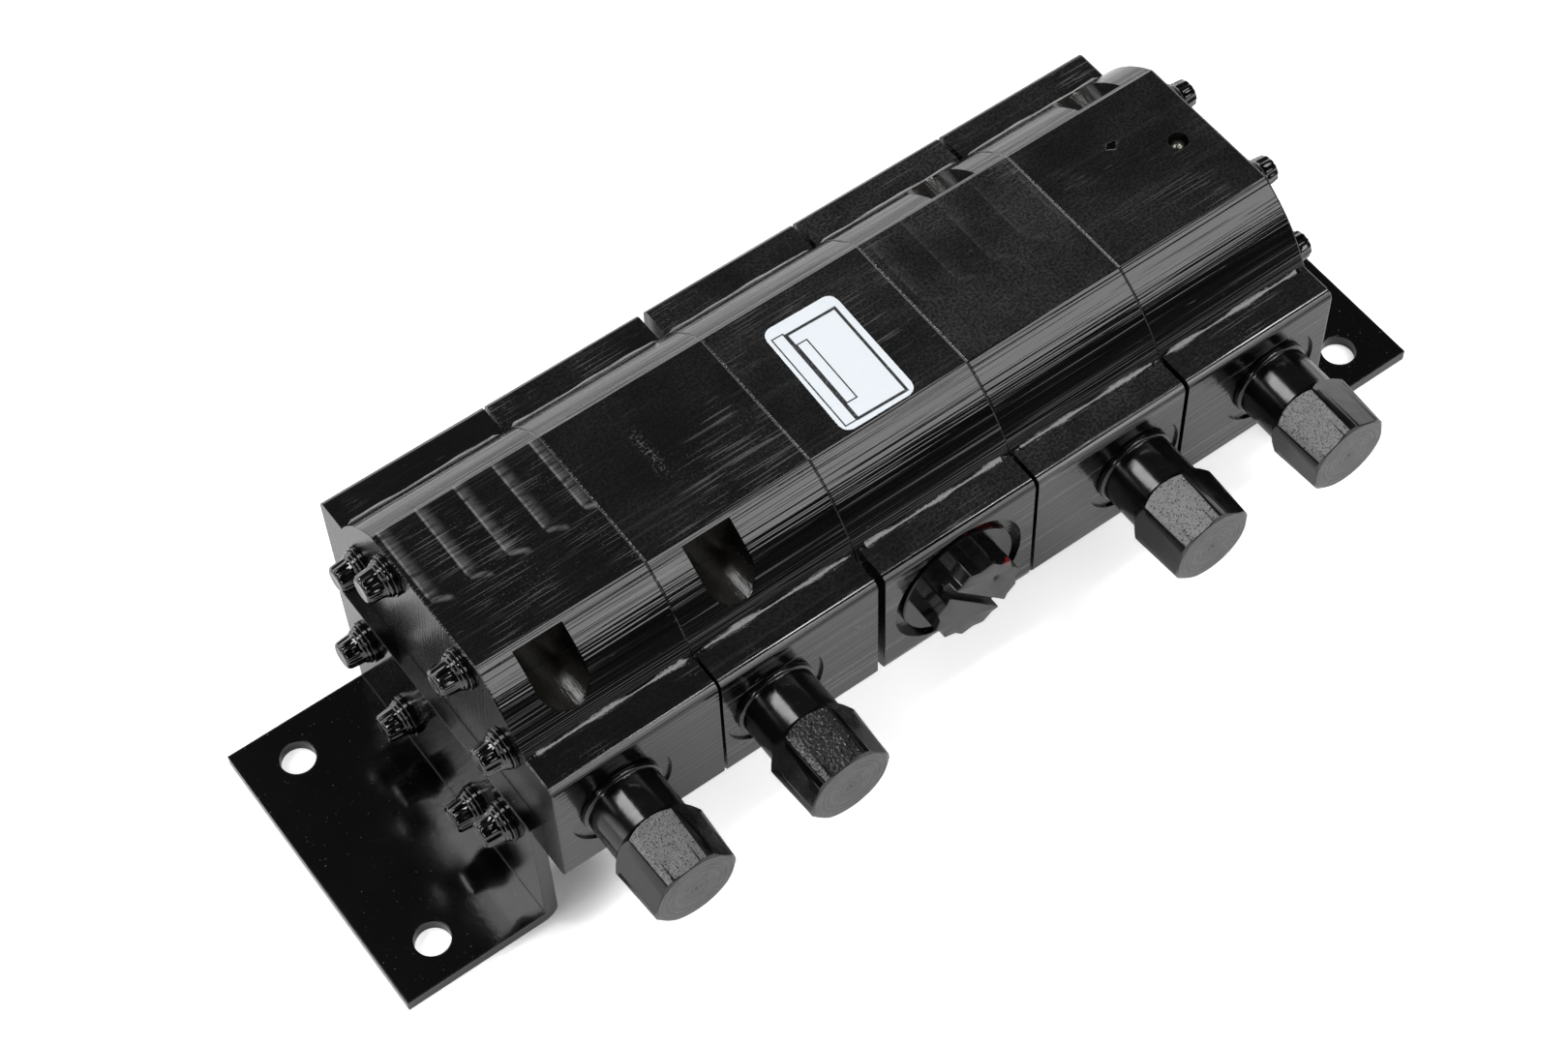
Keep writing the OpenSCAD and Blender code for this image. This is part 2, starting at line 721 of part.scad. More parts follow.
idler_gear(1);  // left_inner_idler_gear
idler_gear(2);  // right_inner_idler_gear
idler_gear(3);  // right_end_idler_gear
section_seals();
gallery_o_rings();
dowel_pins();
relief_cap(0);  // left_end_relief_cap
relief_cap(1);  // left_inner_relief_cap
relief_cap(2);  // right_inner_relief_cap
relief_cap(3);  // right_end_relief_cap
relief_spring(0);  // left_end_relief_spring
relief_spring(1);  // left_inner_relief_spring
relief_spring(2);  // right_inner_relief_spring
relief_spring(3);  // right_end_relief_spring
relief_poppet(0);  // left_end_relief_poppet
relief_poppet(1);  // left_inner_relief_poppet
relief_poppet(2);  // right_inner_relief_poppet
relief_poppet(3);  // right_end_relief_poppet
relief_seat(0);  // left_end_relief_seat
relief_seat(1);  // left_inner_relief_seat
relief_seat(2);  // right_inner_relief_seat
relief_seat(3);  // right_end_relief_seat
cap_o_rings();
inlet_plug();
inlet_plug_o_ring();
ball_plug();
tie_bolts(-1);  // left_tie_bolts
tie_bolts(1);  // right_tie_bolts
washers(-1);  // left_washers
washers(1);  // right_washers
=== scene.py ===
# Looks of a hydraulic gear flow divider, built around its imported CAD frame

import logging
import math
from dataclasses import dataclass
from enum import Enum

import bmesh
import bpy
import numpy as np
from mathutils import Matrix


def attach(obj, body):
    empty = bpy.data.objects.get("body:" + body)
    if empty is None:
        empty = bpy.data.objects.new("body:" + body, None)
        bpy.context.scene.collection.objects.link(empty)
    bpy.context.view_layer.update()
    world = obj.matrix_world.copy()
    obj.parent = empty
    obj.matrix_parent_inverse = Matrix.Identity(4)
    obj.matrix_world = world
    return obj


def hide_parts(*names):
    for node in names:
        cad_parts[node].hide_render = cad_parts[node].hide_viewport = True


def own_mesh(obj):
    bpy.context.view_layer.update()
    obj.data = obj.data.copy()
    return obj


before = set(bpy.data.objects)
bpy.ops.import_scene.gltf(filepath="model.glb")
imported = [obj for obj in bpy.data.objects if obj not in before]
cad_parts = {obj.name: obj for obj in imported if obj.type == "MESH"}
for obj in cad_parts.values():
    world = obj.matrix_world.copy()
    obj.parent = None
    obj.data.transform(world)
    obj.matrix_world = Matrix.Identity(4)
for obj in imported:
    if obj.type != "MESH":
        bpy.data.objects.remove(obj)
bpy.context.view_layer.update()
LOG = logging.getLogger("flow_divider")
MM = 0.001
AXIS_Z = 45.5 * MM
BODY_L = 207.0 * MM
BLOCK_L = 41.4 * MM
BOSS_Y = 44.2 * MM
BOSS_Z = 18.4 * MM
CORE_R = 39.5 * MM
TOP_Z = 34.5 * MM
HEX_Y = 55.7 * MM
MERGE = 1e-7
SLIVER = 1e-8
OPEN = 1.0

Colour = tuple[float, float, float]
Place = tuple[float, float, float]
Material = bpy.types.Material
Piece = bpy.types.Object
Socket = bpy.types.NodeSocket
Feed = float | tuple | Socket


class Section(Enum):
    """The four gear sections, each with the place of its valve along the body."""

    LEFT_END = -87.7 * MM
    LEFT_INNER = -48.6 * MM
    RIGHT_INNER = 48.6 * MM
    RIGHT_END = 87.7 * MM

    @property
    def stem(self) -> str:
        """Start of the names of this section's nodes."""
        return self.name.lower()


class Side(Enum):
    """The two ends of the body, as a sign along X."""

    LEFT = -1
    RIGHT = 1

    @property
    def stem(self) -> str:
        """Start of the names of this end's nodes."""
        return self.name.lower()


# Surfaces


def grid_faces(rows: int, columns: int, count: int, wrap: bool) -> np.ndarray:
    """Quad indices of a stack of equal grids.

    Args:
        rows: Points along the first parameter.
        columns: Points along the second parameter.
        count: Grids in the stack.
        wrap: Whether the second parameter closes on itself.

    Returns:
        Array of quads, four indices each.
    """
    across = columns if wrap else columns - 1
    i, j = np.meshgrid(np.arange(rows - 1), np.arange(across), indexing="ij")
    k = (j + 1) % columns
    near, far = i * columns, (i + 1) * columns
    quads = np.stack([near + j, near + k, far + k, far + j], axis=-1)
    shifts = np.arange(count)[:, None, None] * rows * columns
    return (quads.reshape(1, -1, 4) + shifts).reshape(-1, 4)


def surface(name: str, points: np.ndarray, wrap: bool, crease: float = 40.0) -> Piece:
    """Makes one mesh piece from a stack of point grids.

    Args:
        name: Name of the piece.
        points: Array of shape (grids, rows, columns, 3), in metres.
        wrap: Whether each row closes on itself.
        crease: Angle in degrees above which an edge stays sharp.

    Returns:
        The new object, at the origin.
    """
    count, rows, columns, _ = points.shape
    mesh = bpy.data.meshes.new(name)
    faces = grid_faces(rows, columns, count, wrap)
    mesh.from_pydata(points.reshape(-1, 3).tolist(), [], faces.tolist())
    shape = bmesh.new()
    shape.from_mesh(mesh)
    bmesh.ops.remove_doubles(shape, verts=shape.verts, dist=MERGE)
    bmesh.ops.dissolve_degenerate(shape, edges=shape.edges, dist=SLIVER)
    bmesh.ops.recalc_face_normals(shape, faces=shape.faces)
    shape.to_mesh(mesh)
    shape.free()
    mesh.polygons.foreach_set("use_smooth", np.ones(len(mesh.polygons), dtype=bool))
    mesh.set_sharp_from_angle(angle=math.radians(crease))
    piece = bpy.data.objects.new(name, mesh)
    bpy.context.scene.collection.objects.link(piece)
    LOG.info("%s: %d faces", name, len(mesh.polygons))
    return piece


def rounded(profile: np.ndarray, radius: float, steps: int = 5) -> np.ndarray:
    """Rounds the corners of a profile, as a thick coat of paint does.

    Each inner corner c gives way to the curve (1-t)^2 a + 2t(1-t) c + t^2 b,
    with a and b at most `radius` from c along its two sides.

    Args:
        profile: Corner points, one per row; the first two columns are lengths.
        radius: Reach of the rounding along each side.
        steps: Points that take the place of a corner.

    Returns:
        The denser profile.
    """
    corner = profile[1:-1]
    back = profile[:-2] - corner
    ahead = profile[2:] - corner
    reach_back = np.minimum(0.45, radius / np.linalg.norm(back[:, :2], axis=1))[:, None]
    reach_ahead = np.minimum(0.45, radius / np.linalg.norm(ahead[:, :2], axis=1))[:, None]
    a = (corner + back * reach_back)[:, None, :]
    b = (corner + ahead * reach_ahead)[:, None, :]
    t = np.linspace(0.0, 1.0, steps)[None, :, None]
    curve = (1 - t) ** 2 * a + 2 * t * (1 - t) * corner[:, None, :] + t**2 * b
    return np.vstack([profile[:1], curve.reshape(-1, profile.shape[1]), profile[-1:]])


def full_turn(steps: int) -> np.ndarray:
    """Even angles of one turn."""
    return np.linspace(0, 2 * math.pi, steps, endpoint=False)


def polygon_outline(angle: np.ndarray, sides: int, turn: float) -> np.ndarray:
    """Distance to a regular polygon's edge with inradius 1: 1 / cos(angle from the side's middle)."""
    step = 2 * math.pi / sides
    return 1.0 / np.cos((angle - turn) % step - step / 2)


def twelve_points(angle: np.ndarray, turn: float) -> np.ndarray:
    """Outline of two hexagons with inradius 1, one turned by 30 degrees: the greater of the two."""
    pair = [polygon_outline(angle, 6, lean) for lean in (turn, turn + math.pi / 6)]
    return np.maximum(*pair)


def softened(outline: np.ndarray, reach: int) -> np.ndarray:
    """Running mean of a closed outline over 2 * reach + 1 points."""
    shifts = np.arange(-reach, reach + 1)
    return np.mean([np.roll(outline, s) for s in shifts], axis=0)


def lathe(profile: np.ndarray, outline: np.ndarray, angle: np.ndarray) -> np.ndarray:
    """Turns a profile about its axis, with an outline where the profile asks for one.

    The radius at angle a is r * (1 + share * (outline(a) - 1)), and never above the limit.

    Args:
        profile: Rows of place along the axis, radius r, share and limit.
        outline: Relative radius at each angle.
        angle: The angles.

    Returns:
        Array (rows, angles, 3) of across, up and along.
    """
    along, radius, share, limit = (profile[:, i, None] for i in range(4))
    r = np.minimum(radius * (1 + share * (outline[None, :] - 1)), limit)
    flat = np.broadcast_to(along, r.shape)
    return np.stack([r * np.cos(angle), r * np.sin(angle), flat], axis=-1)


def profile_table(rows: list[tuple[float, float, float]]) -> np.ndarray:
    """Turns rows of along and radius in millimetres and share into a profile with an open limit.

    Args:
        rows: The rows.

    Returns:
        Array of four columns, with lengths in metres.
    """
    table = np.array(rows, dtype=float)
    table[:, :2] *= MM
    return np.column_stack([table, np.full(len(table), OPEN)])


# Materials


class ShaderGraph:
    """Node tree of one procedural material in object coordinates."""

    def __init__(self, name: str) -> None:
        """Starts a material with a single shader.

        Args:
            name: Name of the material.
        """
        self.material = bpy.data.materials.new(name)
        self.material.use_nodes = True
        self.tree = self.material.node_tree
        self.tree.nodes.clear()
        self.shader = self.tree.nodes.new("ShaderNodeBsdfPrincipled")
        end = self.tree.nodes.new("ShaderNodeOutputMaterial")
        self.tree.links.new(self.shader.outputs[0], end.inputs[0])
        self.coords = self.tree.nodes.new("ShaderNodeTexCoord").outputs["Object"]
        self.facing = self.tree.nodes.new("ShaderNodeNewGeometry").outputs["Normal"]

    def feed(self, socket: Socket, value: Feed) -> None:
        """Links or sets one input.

        Args:
            socket: The input.
            value: Another node's output, or a constant.
        """
        if isinstance(value, Socket):
            self.tree.links.new(value, socket)
        else:
            socket.default_value = value

    def fill(self, node: bpy.types.Node, **inputs: Feed) -> None:
        """Feeds a node's inputs.

        Args:
            node: The node.
            inputs: Input names with underscores for spaces.
        """
        for name, value in inputs.items():
            self.feed(node.inputs[name.replace("_", " ")], value)

    def set(self, **inputs: Feed) -> None:
        """Feeds the shader's inputs.

        Args:
            inputs: Input names with underscores for spaces.
        """
        for name, value in inputs.items():
            colour = isinstance(value, tuple) and len(value) == 3
            self.fill(self.shader, **{name: (*value, 1.0) if colour else value})

    def place(
        self, centre: Place = (0, 0, 0), scale: Place = (1, 1, 1), turn: Place = (0, 0, 0)
    ) -> Socket:
        """Object coordinates about a centre.

        Args:
            centre: Point that becomes the pattern's origin, in metres.
            scale: Stretch along each axis.
            turn: Rotation in degrees.

        Returns:
            The vector output.
        """
        move = self.tree.nodes.new("ShaderNodeVectorMath")
        move.operation = "SUBTRACT"
        self.feed(move.inputs[0], self.coords)
        self.feed(move.inputs[1], centre)
        node = self.tree.nodes.new("ShaderNodeMapping")
        angles = tuple(math.radians(a) for a in turn)
        self.fill(node, Vector=move.outputs[0], Rotation=angles, Scale=scale)
        return node.outputs[0]

    def noise(
        self, vector: Feed, scale: float = 1.0, detail: float = 4.0, rough: float = 0.55
    ) -> Socket:
        """Noise between 0 and 1.

        Args:
            vector: Where to read it.
            scale: Cells per metre.
            detail: Octaves.
            rough: Weight of the finer octaves.

        Returns:
            The value output.
        """
        node = self.tree.nodes.new("ShaderNodeTexNoise")
        self.fill(node, Vector=vector, Scale=scale, Detail=detail, Roughness=rough)
        return node.outputs["Fac"]

    def math(self, operation: str, a: Feed, b: Feed = 0.0) -> Socket:
        """One arithmetic step.

        Args:
            operation: Name of the operation.
            a: First value.
            b: Second value.

        Returns:
            The result.
        """
        node = self.tree.nodes.new("ShaderNodeMath")
        node.operation = operation
        self.feed(node.inputs[0], a)
        self.feed(node.inputs[1], b)
        return node.outputs[0]

    def ramp(
        self, value: Feed, low: float, high: float, start: float = 0.0, end: float = 1.0
    ) -> Socket:
        """Smooth step of a value from one range to another.

        Args:
            value: What to remap.
            low: Value that gives `start`.
            high: Value that gives `end`.
            start: Result at and below low.
            end: Result at and above high.

        Returns:
            The result.
        """
        node = self.tree.nodes.new("ShaderNodeMapRange")
        node.interpolation_type = "SMOOTHSTEP"
        self.fill(node, Value=value, From_Min=low, From_Max=high, To_Min=start, To_Max=end)
        return node.outputs[0]

    def split(self, vector: Feed) -> tuple[Socket, Socket, Socket]:
        """The three parts of a vector.

        Args:
            vector: The vector.

        Returns:
            Its x, y and z.
        """
        node = self.tree.nodes.new("ShaderNodeSeparateXYZ")
        self.feed(node.inputs[0], vector)
        return node.outputs[0], node.outputs[1], node.outputs[2]

    def length(self, a: Feed, b: Feed) -> Socket:
        """Length of a vector with two parts."""
        return self.math("SQRT", self.plus(self.times(a, a), self.times(b, b)))

    def blend(self, share: Feed, low: Feed, high: Feed) -> Socket:
        """Mixes two colours.

        Args:
            share: Weight of the second colour.
            low: First colour.
            high: Second colour.

        Returns:
            The mixed colour.
        """
        node = self.tree.nodes.new("ShaderNodeMix")
        node.data_type = "RGBA"
        self.feed(node.inputs[0], share)
        self.feed(node.inputs[6], (*low, 1.0) if isinstance(low, tuple) else low)
        self.feed(node.inputs[7], (*high, 1.0) if isinstance(high, tuple) else high)
        return node.outputs[2]

    def times(self, first: Feed, *others: Feed) -> Feed:
        """Product of the values, where a plain 1 is left out.

        Args:
            first: First value.
            others: The values that multiply it.

        Returns:
            The product.
        """
        for value in others:
            if isinstance(first, float) and first == 1.0:
                first = value
            elif not (isinstance(value, float) and value == 1.0):
                first = self.math("MULTIPLY", first, value)
        return first

    def plus(self, first: Feed, *others: Feed) -> Feed:
        """Sum of the values.

        Args:
            first: First value.
            others: The values that are added.

        Returns:
            The sum.
        """
        for value in others:
            first = self.math("ADD", first, value)
        return first

    def rest(self, value: Feed) -> Feed:
        """What is left of 1 after the value."""
        return 1.0 - value if isinstance(value, float) else self.math("SUBTRACT", 1.0, value)

    def bevel(self, radius: float) -> Socket:
        """Normal with rounded edges.

        Args:
            radius: Radius of the rounding.

        Returns:
            The normal.
        """
        node = self.tree.nodes.new("ShaderNodeBevel")
        node.samples = 3
        self.feed(node.inputs["Radius"], radius)
        return node.outputs[0]

    def bump(
        self, height: Feed, depth: float, strength: float = 1.0, under: Feed | None = None
    ) -> Socket:
        """Normal disturbed by a height.

        Args:
            height: The height, 0 to 1.
            depth: Metres between height 0 and 1.
            strength: Share of the effect.
            under: Normal that is disturbed, if not the surface's own.

        Returns:
            The normal.
        """
        node = self.tree.nodes.new("ShaderNodeBump")
        self.fill(node, Height=height, Distance=depth, Strength=strength)
        if under is not None:
            self.feed(node.inputs["Normal"], under)
        return node.outputs[0]


class BlockMask:
    """Places, directions and noises that the steps of one block's paint share."""

    def __init__(self, g: ShaderGraph, seed: float) -> None:
        """Reads the block's places and draws its noises.

        Args:
            g: The material's graph.
            seed: Shift that keeps two blocks from looking alike.
        """
        self.g = g
        self.shift: Place = (seed * 0.37, seed * 0.113, seed * 0.071)
        self.x, self.y, self.z = g.split(g.coords)
        self.above = g.plus(self.z, -AXIS_Z)
        nx, self.ny, nz = g.split(g.facing)
        self.end = g.ramp(g.math("ABSOLUTE", nx), 0.8, 0.95)
        self.level = g.ramp(g.math("ABSOLUTE", nz), 0.97, 0.995)
        self.top = g.ramp(self.above, TOP_Z - 0.5 * MM, TOP_Z - 0.2 * MM)
        self.streak = g.noise(g.place(self.shift, (15, 1350, 1350)), 1.0, 1.5, 0.45)
        self.broad = g.noise(g.place(self.shift, (11, 330, 330)), 1.0, 2.0)
        self.fine = g.noise(g.place(self.shift, (24, 2900, 2900)), 1.0, 0.0)

    def pocket(self) -> Feed:
        """Weight of the milled pockets, which lie inside the round core and above the bosses.

        Returns:
            The weight, from 0 to 1.
        """
        g = self.g
        inside = g.ramp(g.length(self.y, self.above), CORE_R - 0.4 * MM, CORE_R - 0.2 * MM, 1.0, 0.0)
        below = g.ramp(self.above, TOP_Z - 0.4 * MM, TOP_Z - 0.2 * MM, 1.0, 0.0)
        above = g.ramp(self.above, BOSS_Z + 0.2 * MM, BOSS_Z + 0.6 * MM)
        return g.times(inside, below, above, g.rest(self.end))

    def boss_edge(self) -> Feed:
        """Distance from the sharp corner that a boss's rounded edge stands for."""
        g = self.g
        return g.length(
            g.plus(g.math("ABSOLUTE", self.y), -BOSS_Y),
            g.plus(g.math("ABSOLUTE", self.above), -BOSS_Z),
        )


@dataclass(frozen=True)
class BodyPaint:
    """Gloss black paint over extruded aluminium, with the marks of one block.

    A rub is the place of the first of a row of bands and their strength, a scuff is
    its place along X and its two ends across the block, and a pit is a point on the top.
    """

    name: str
    block: int
    seed: float
    outlet_x: float | None = None
    rub: tuple[float, float] | None = None
    scuff: Place | None = None
    pit: tuple[float, float] | None = None
    film: float = 0.01
    gloss: float = 0.09
    relief: float = 0.1 * MM
    peel: float = 0.1 * MM
    dry: float = 0.28
    scratches: float = 0.22
    # Share of the painted highlight along the bosses' rounded edges.
    rim: float = 0.55
    marks: float = 0.22
    grit: float = 0.3
    pitch: float = 1.5875 * MM
    rub_step: float = 9.35 * MM
    colour: Colour = (0.0022, 0.0023, 0.0024)
    # Grey of worn paint, also used for the painted highlight on the boss edges.
    haze_and_highlight: Colour = (0.22, 0.22, 0.224)
    bare: Colour = (0.40, 0.40, 0.405)
    thin: Colour = (0.008, 0.0073, 0.0058)

    def material(self) -> Material:
        """Builds streaks along X, milling arcs on end faces, worn paint with a painted edge highlight, and
        bare ports.

        Returns:
            The material.
        """
        g = ShaderGraph(self.name)
        m = BlockMask(g, self.seed)
        pocket = m.pocket()
        metal: Feed = 0.0 if self.outlet_x is None else self.port(m)
        dent: Feed = 0.0 if self.pit is None else self.dent(m)
        outer = g.times(g.rest(m.end), g.rest(pocket), g.rest(metal))
        # worn holds real worn paint and the painted highlight on the boss edges.
        worn = g.times(self.wear_and_edge_highlight(m, outer), g.rest(dent))
        lines = g.plus(m.streak, g.times(m.fine, 0.45), g.times(m.broad, 0.5))
        mill = g.times(g.noise(g.place(m.shift, (2300, 300, 300)), 1.0, 2.0), pocket, 1.2)
        calm = g.rest(g.times(m.level, 0.5))
        height = g.plus(g.times(lines, outer, calm), g.times(self.arcs(m), m.end), self.groove(m), mill)
        rough = g.plus(
            g.ramp(m.streak, 0.35, 0.7, self.gloss, self.gloss + 0.06),
            g.times(worn, 0.25),
            g.times(pocket, 0.12),
            g.times(m.end, 0.12),
        )
        colour = g.blend(pocket, g.blend(worn, self.colour, self.haze_and_highlight), self.thin)
        if self.outlet_x is not None:
            colour = g.blend(metal, colour, self.bare)
            height = g.plus(height, g.times(self.tooling(m), metal))
            rough = g.plus(rough, g.times(metal, 0.22))
            g.set(Metallic=metal)
        if self.pit is not None:
            height = g.plus(height, g.times(dent, -1.2))
            g.set(Specular_IOR_Level=g.times(g.rest(dent), 0.5))
        peel = g.bump(g.noise(g.place(m.shift), 260.0, 2.0), self.peel, 0.25)
        g.set(Base_Color=colour, Roughness=rough, Normal=g.bump(height, self.relief, 0.9, peel))
        return g.material

    def arcs(self, m: BlockMask) -> Feed:
        """Cutter marks on an end face: noise of the distance from a point outside the block.

        Args:
            m: The block's masks.

        Returns:
            Height of the marks.
        """
        g = m.g
        away = g.length(g.plus(m.y, 0.30 + 0.02 * self.seed), g.plus(m.z, -0.02))
        return g.times(g.noise(g.times(away, 1100.0), 1.0, 1.0), 0.7)

    def groove(self, m: BlockMask) -> Feed:
        """Step down to the joint at each end of the block.

        Args:
            m: The block's masks.

        Returns:
            Height of the face beside the step.
        """
        g = m.g
        off = g.math("ABSOLUTE", g.plus(m.x, (2 - self.block) * BLOCK_L))
        inward = g.math("SUBTRACT", BLOCK_L / 2, off)
        ragged = g.plus(inward, g.times(g.noise(g.coords, 240.0), 0.10 * MM))
        return g.times(g.ramp(ragged, 0.05 * MM, 0.40 * MM, 0.0, 1.5), g.rest(m.end))

    def wear_and_edge_highlight(self, m: BlockMask, outer: Feed) -> Feed:
        """Weight of everything that takes the gloss off the paint, and of the painted highlight on the boss
        edges.

        Args:
            m: The block's masks.
            outer: Weight of the extruded faces.

        Returns:
            Share of haze, from 0 to about 1.
        """
        g = m.g
        flat = g.rest(g.times(m.level, 0.9))
        dry = g.times(g.ramp(m.broad, 0.48, 0.64), g.ramp(m.streak, 0.52, 0.62), flat, self.dry)
        turned = g.place(m.shift, (150, 2600, 300), (0, 0, 80 + 9 * self.seed))
        scratch = g.times(g.ramp(g.noise(turned, 1.0, 2.0), 0.70, 0.78), self.scratches)
        # Painted highlight: grey along the rounded boss edges, where a lamp's reflection falls.
        edge = g.plus(m.boss_edge(), g.times(m.broad, 0.6 * MM))
        rim = g.ramp(edge, 1.10 * MM, 1.40 * MM, self.rim, 0.0)
        patch = g.ramp(g.noise(g.place(m.shift), 42.0, 2.0), 0.48, 0.64)
        hair = g.ramp(g.noise(g.place(m.shift, (85, 2900, 2900)), 1.0, 0.0), 0.63, 0.71)
        grain = g.ramp(g.noise(g.coords, 2200.0, 1.0), 0.64, 0.74)
        marks = g.times(g.plus(g.times(hair, self.marks), g.times(grain, self.marks)), patch, m.level)
        cloud = g.noise(g.place(m.shift, (60, 60, 60)), 1.0, 4.0, 0.6)
        sand = g.ramp(g.noise(g.coords, 1500.0, 2.0), 0.35, 0.65, 0.4, 1.6)
        smudge = g.times(g.ramp(cloud, 0.30, 0.70, 0.5 * self.film, 1.5 * self.film), sand, m.level)
        worn = g.plus(g.times(g.plus(scratch, dry, rim, marks), outer), smudge)
        if self.rub is not None:
            worn = g.plus(worn, g.times(self.rubs(m, self.rub[0]), self.rub[1]))
        if self.scuff is not None:
            worn = g.plus(worn, g.times(self.scrape(m, *self.scuff), self.grit))
        return worn

    def rubs(self, m: BlockMask, start: float) -> Feed:
        """Row of matt rub bands across the top flat, each with a foot along X.

        Args:
            m: The block's masks.
            start: Place of the first band.

        Returns:
            Weight of the rub.
        """
        g = m.g
        step = g.math("MODULO", g.plus(m.x, -start), self.rub_step)
        fine = g.ramp(g.math("ABSOLUTE", g.plus(step, -1.1 * MM)), 0.1 * MM, 0.5 * MM, 1.0, 0.0)
        band = g.times(g.ramp(step, 0.8 * MM, 1.1 * MM), g.ramp(step, 1.3 * MM, 4.2 * MM, 0.45, 0.0))
        across = g.times(g.math("MAXIMUM", fine, band), g.ramp(m.y, -1.0 * MM, 0.5 * MM))
        low = g.math("ABSOLUTE", g.plus(m.y, 0.2 * MM, g.times(step, 0.5)))
        reach = g.times(g.ramp(step, 0.8 * MM, 1.2 * MM), g.ramp(step, 4.2 * MM, 5.8 * MM, 1.0, 0.0))
        foot = g.times(g.ramp(low, 0.1 * MM, 1.2 * MM, 0.7, 0.0), reach)
        spotty = g.ramp(g.noise(g.place(scale=(160, 900, 900))), 0.32, 0.60, 0.15, 1.0)
        return g.times(g.math("MAXIMUM", across, foot), spotty, m.top)

    def scrape(self, m: BlockMask, place: float, near: float, far: float) -> Feed:
        """Ragged line of grains across the top flat.

        Args:
            m: The block's masks.
            place: Where it lies along X.
            near: Its front end.
            far: Its back end.

        Returns:
            Weight of the grains.
        """
        g = m.g
        sway = g.times(g.noise(g.coords, 70.0, 3.0), 10.0 * MM)
        off = g.math("ABSOLUTE", g.plus(m.x, -place - 5.0 * MM, sway))
        line = g.ramp(off, 0.1 * MM, 2.2 * MM, 1.0, 0.0)
        span = g.times(g.ramp(m.y, near, near + 7 * MM), g.ramp(m.y, far - 7 * MM, far, 1.0, 0.0))
        return g.times(line, span, g.ramp(g.noise(g.coords, 1500.0, 2.0), 0.50, 0.62), m.top)

    def dent(self, m: BlockMask) -> Feed:
        """Ragged pit in the top.

        Args:
            m: The block's masks.

        Returns:
            Weight of the pit.
        """
        g = m.g
        away = g.length(g.plus(m.x, -self.pit[0]), g.plus(m.y, -self.pit[1]))
        ragged = g.plus(away, g.times(g.noise(g.coords, 700.0), 3.4 * MM))
        return g.times(g.ramp(ragged, 2.6 * MM, 3.2 * MM, 1.0, 0.0), m.top)

    def port(self, m: BlockMask) -> Feed:
        """Bare metal in the outlet port and on its spotface.

        Args:
            m: The block's masks.

        Returns:
            Weight of the metal.
        """
        g = m.g
        out = g.length(g.plus(m.x, -self.outlet_x), m.above)
        return g.times(g.ramp(out, 14.9 * MM, 15.1 * MM, 1.0, 0.0), g.ramp(m.y, 12.0 * MM, 12.5 * MM))

    def tooling(self, m: BlockMask) -> Feed:
        """Turned rings on the spotface and thread in the port.

        Args:
            m: The block's masks.

        Returns:
            Height of the rings and the thread.
        """
        g = m.g
        face = g.ramp(m.ny, 0.8, 0.95)
        out = g.length(g.plus(m.x, -self.outlet_x), m.above)
        rings = g.times(g.noise(g.times(out, 2400.0), 1.0, 2.0), face)
        thread = g.math("SINE", g.times(m.y, 2 * math.pi / self.pitch))
        return g.plus(rings, g.times(thread, g.rest(face), 5.0))


@dataclass(frozen=True)
class CoatPaint:
    """Thick gloss black paint on hardware."""

    name: str
    colour: Colour = (0.0020, 0.0020, 0.0022)
    speck: Colour = (0.16, 0.16, 0.15)
    gloss: float = 0.13
    peel: float = 0.5
    specks: float = 0.3
    edge: float = 0.0
    shine: float = 0.5
    relief: float = 0.25 * MM

    def material(self) -> Material:
        """Builds orange peel, uneven gloss and dust specks.

        Returns:
            The material.
        """
        g = ShaderGraph(self.name)
        peel = g.noise(g.coords, 650.0, 3.0)
        cloud = g.noise(g.coords, 90.0, 4.0)
        dust = g.ramp(g.noise(g.coords, 1500.0, 2.0), 0.71, 0.77)
        share = g.times(dust, self.specks)
        under = g.bevel(self.edge) if self.edge else None
        g.set(
            Base_Color=g.blend(share, self.colour, self.speck),
            Roughness=g.ramp(cloud, 0.3, 0.7, self.gloss, self.gloss + 0.05),
            Specular_IOR_Level=self.shine,
            Normal=g.bump(peel, self.relief, self.peel, under),
        )
        return g.material


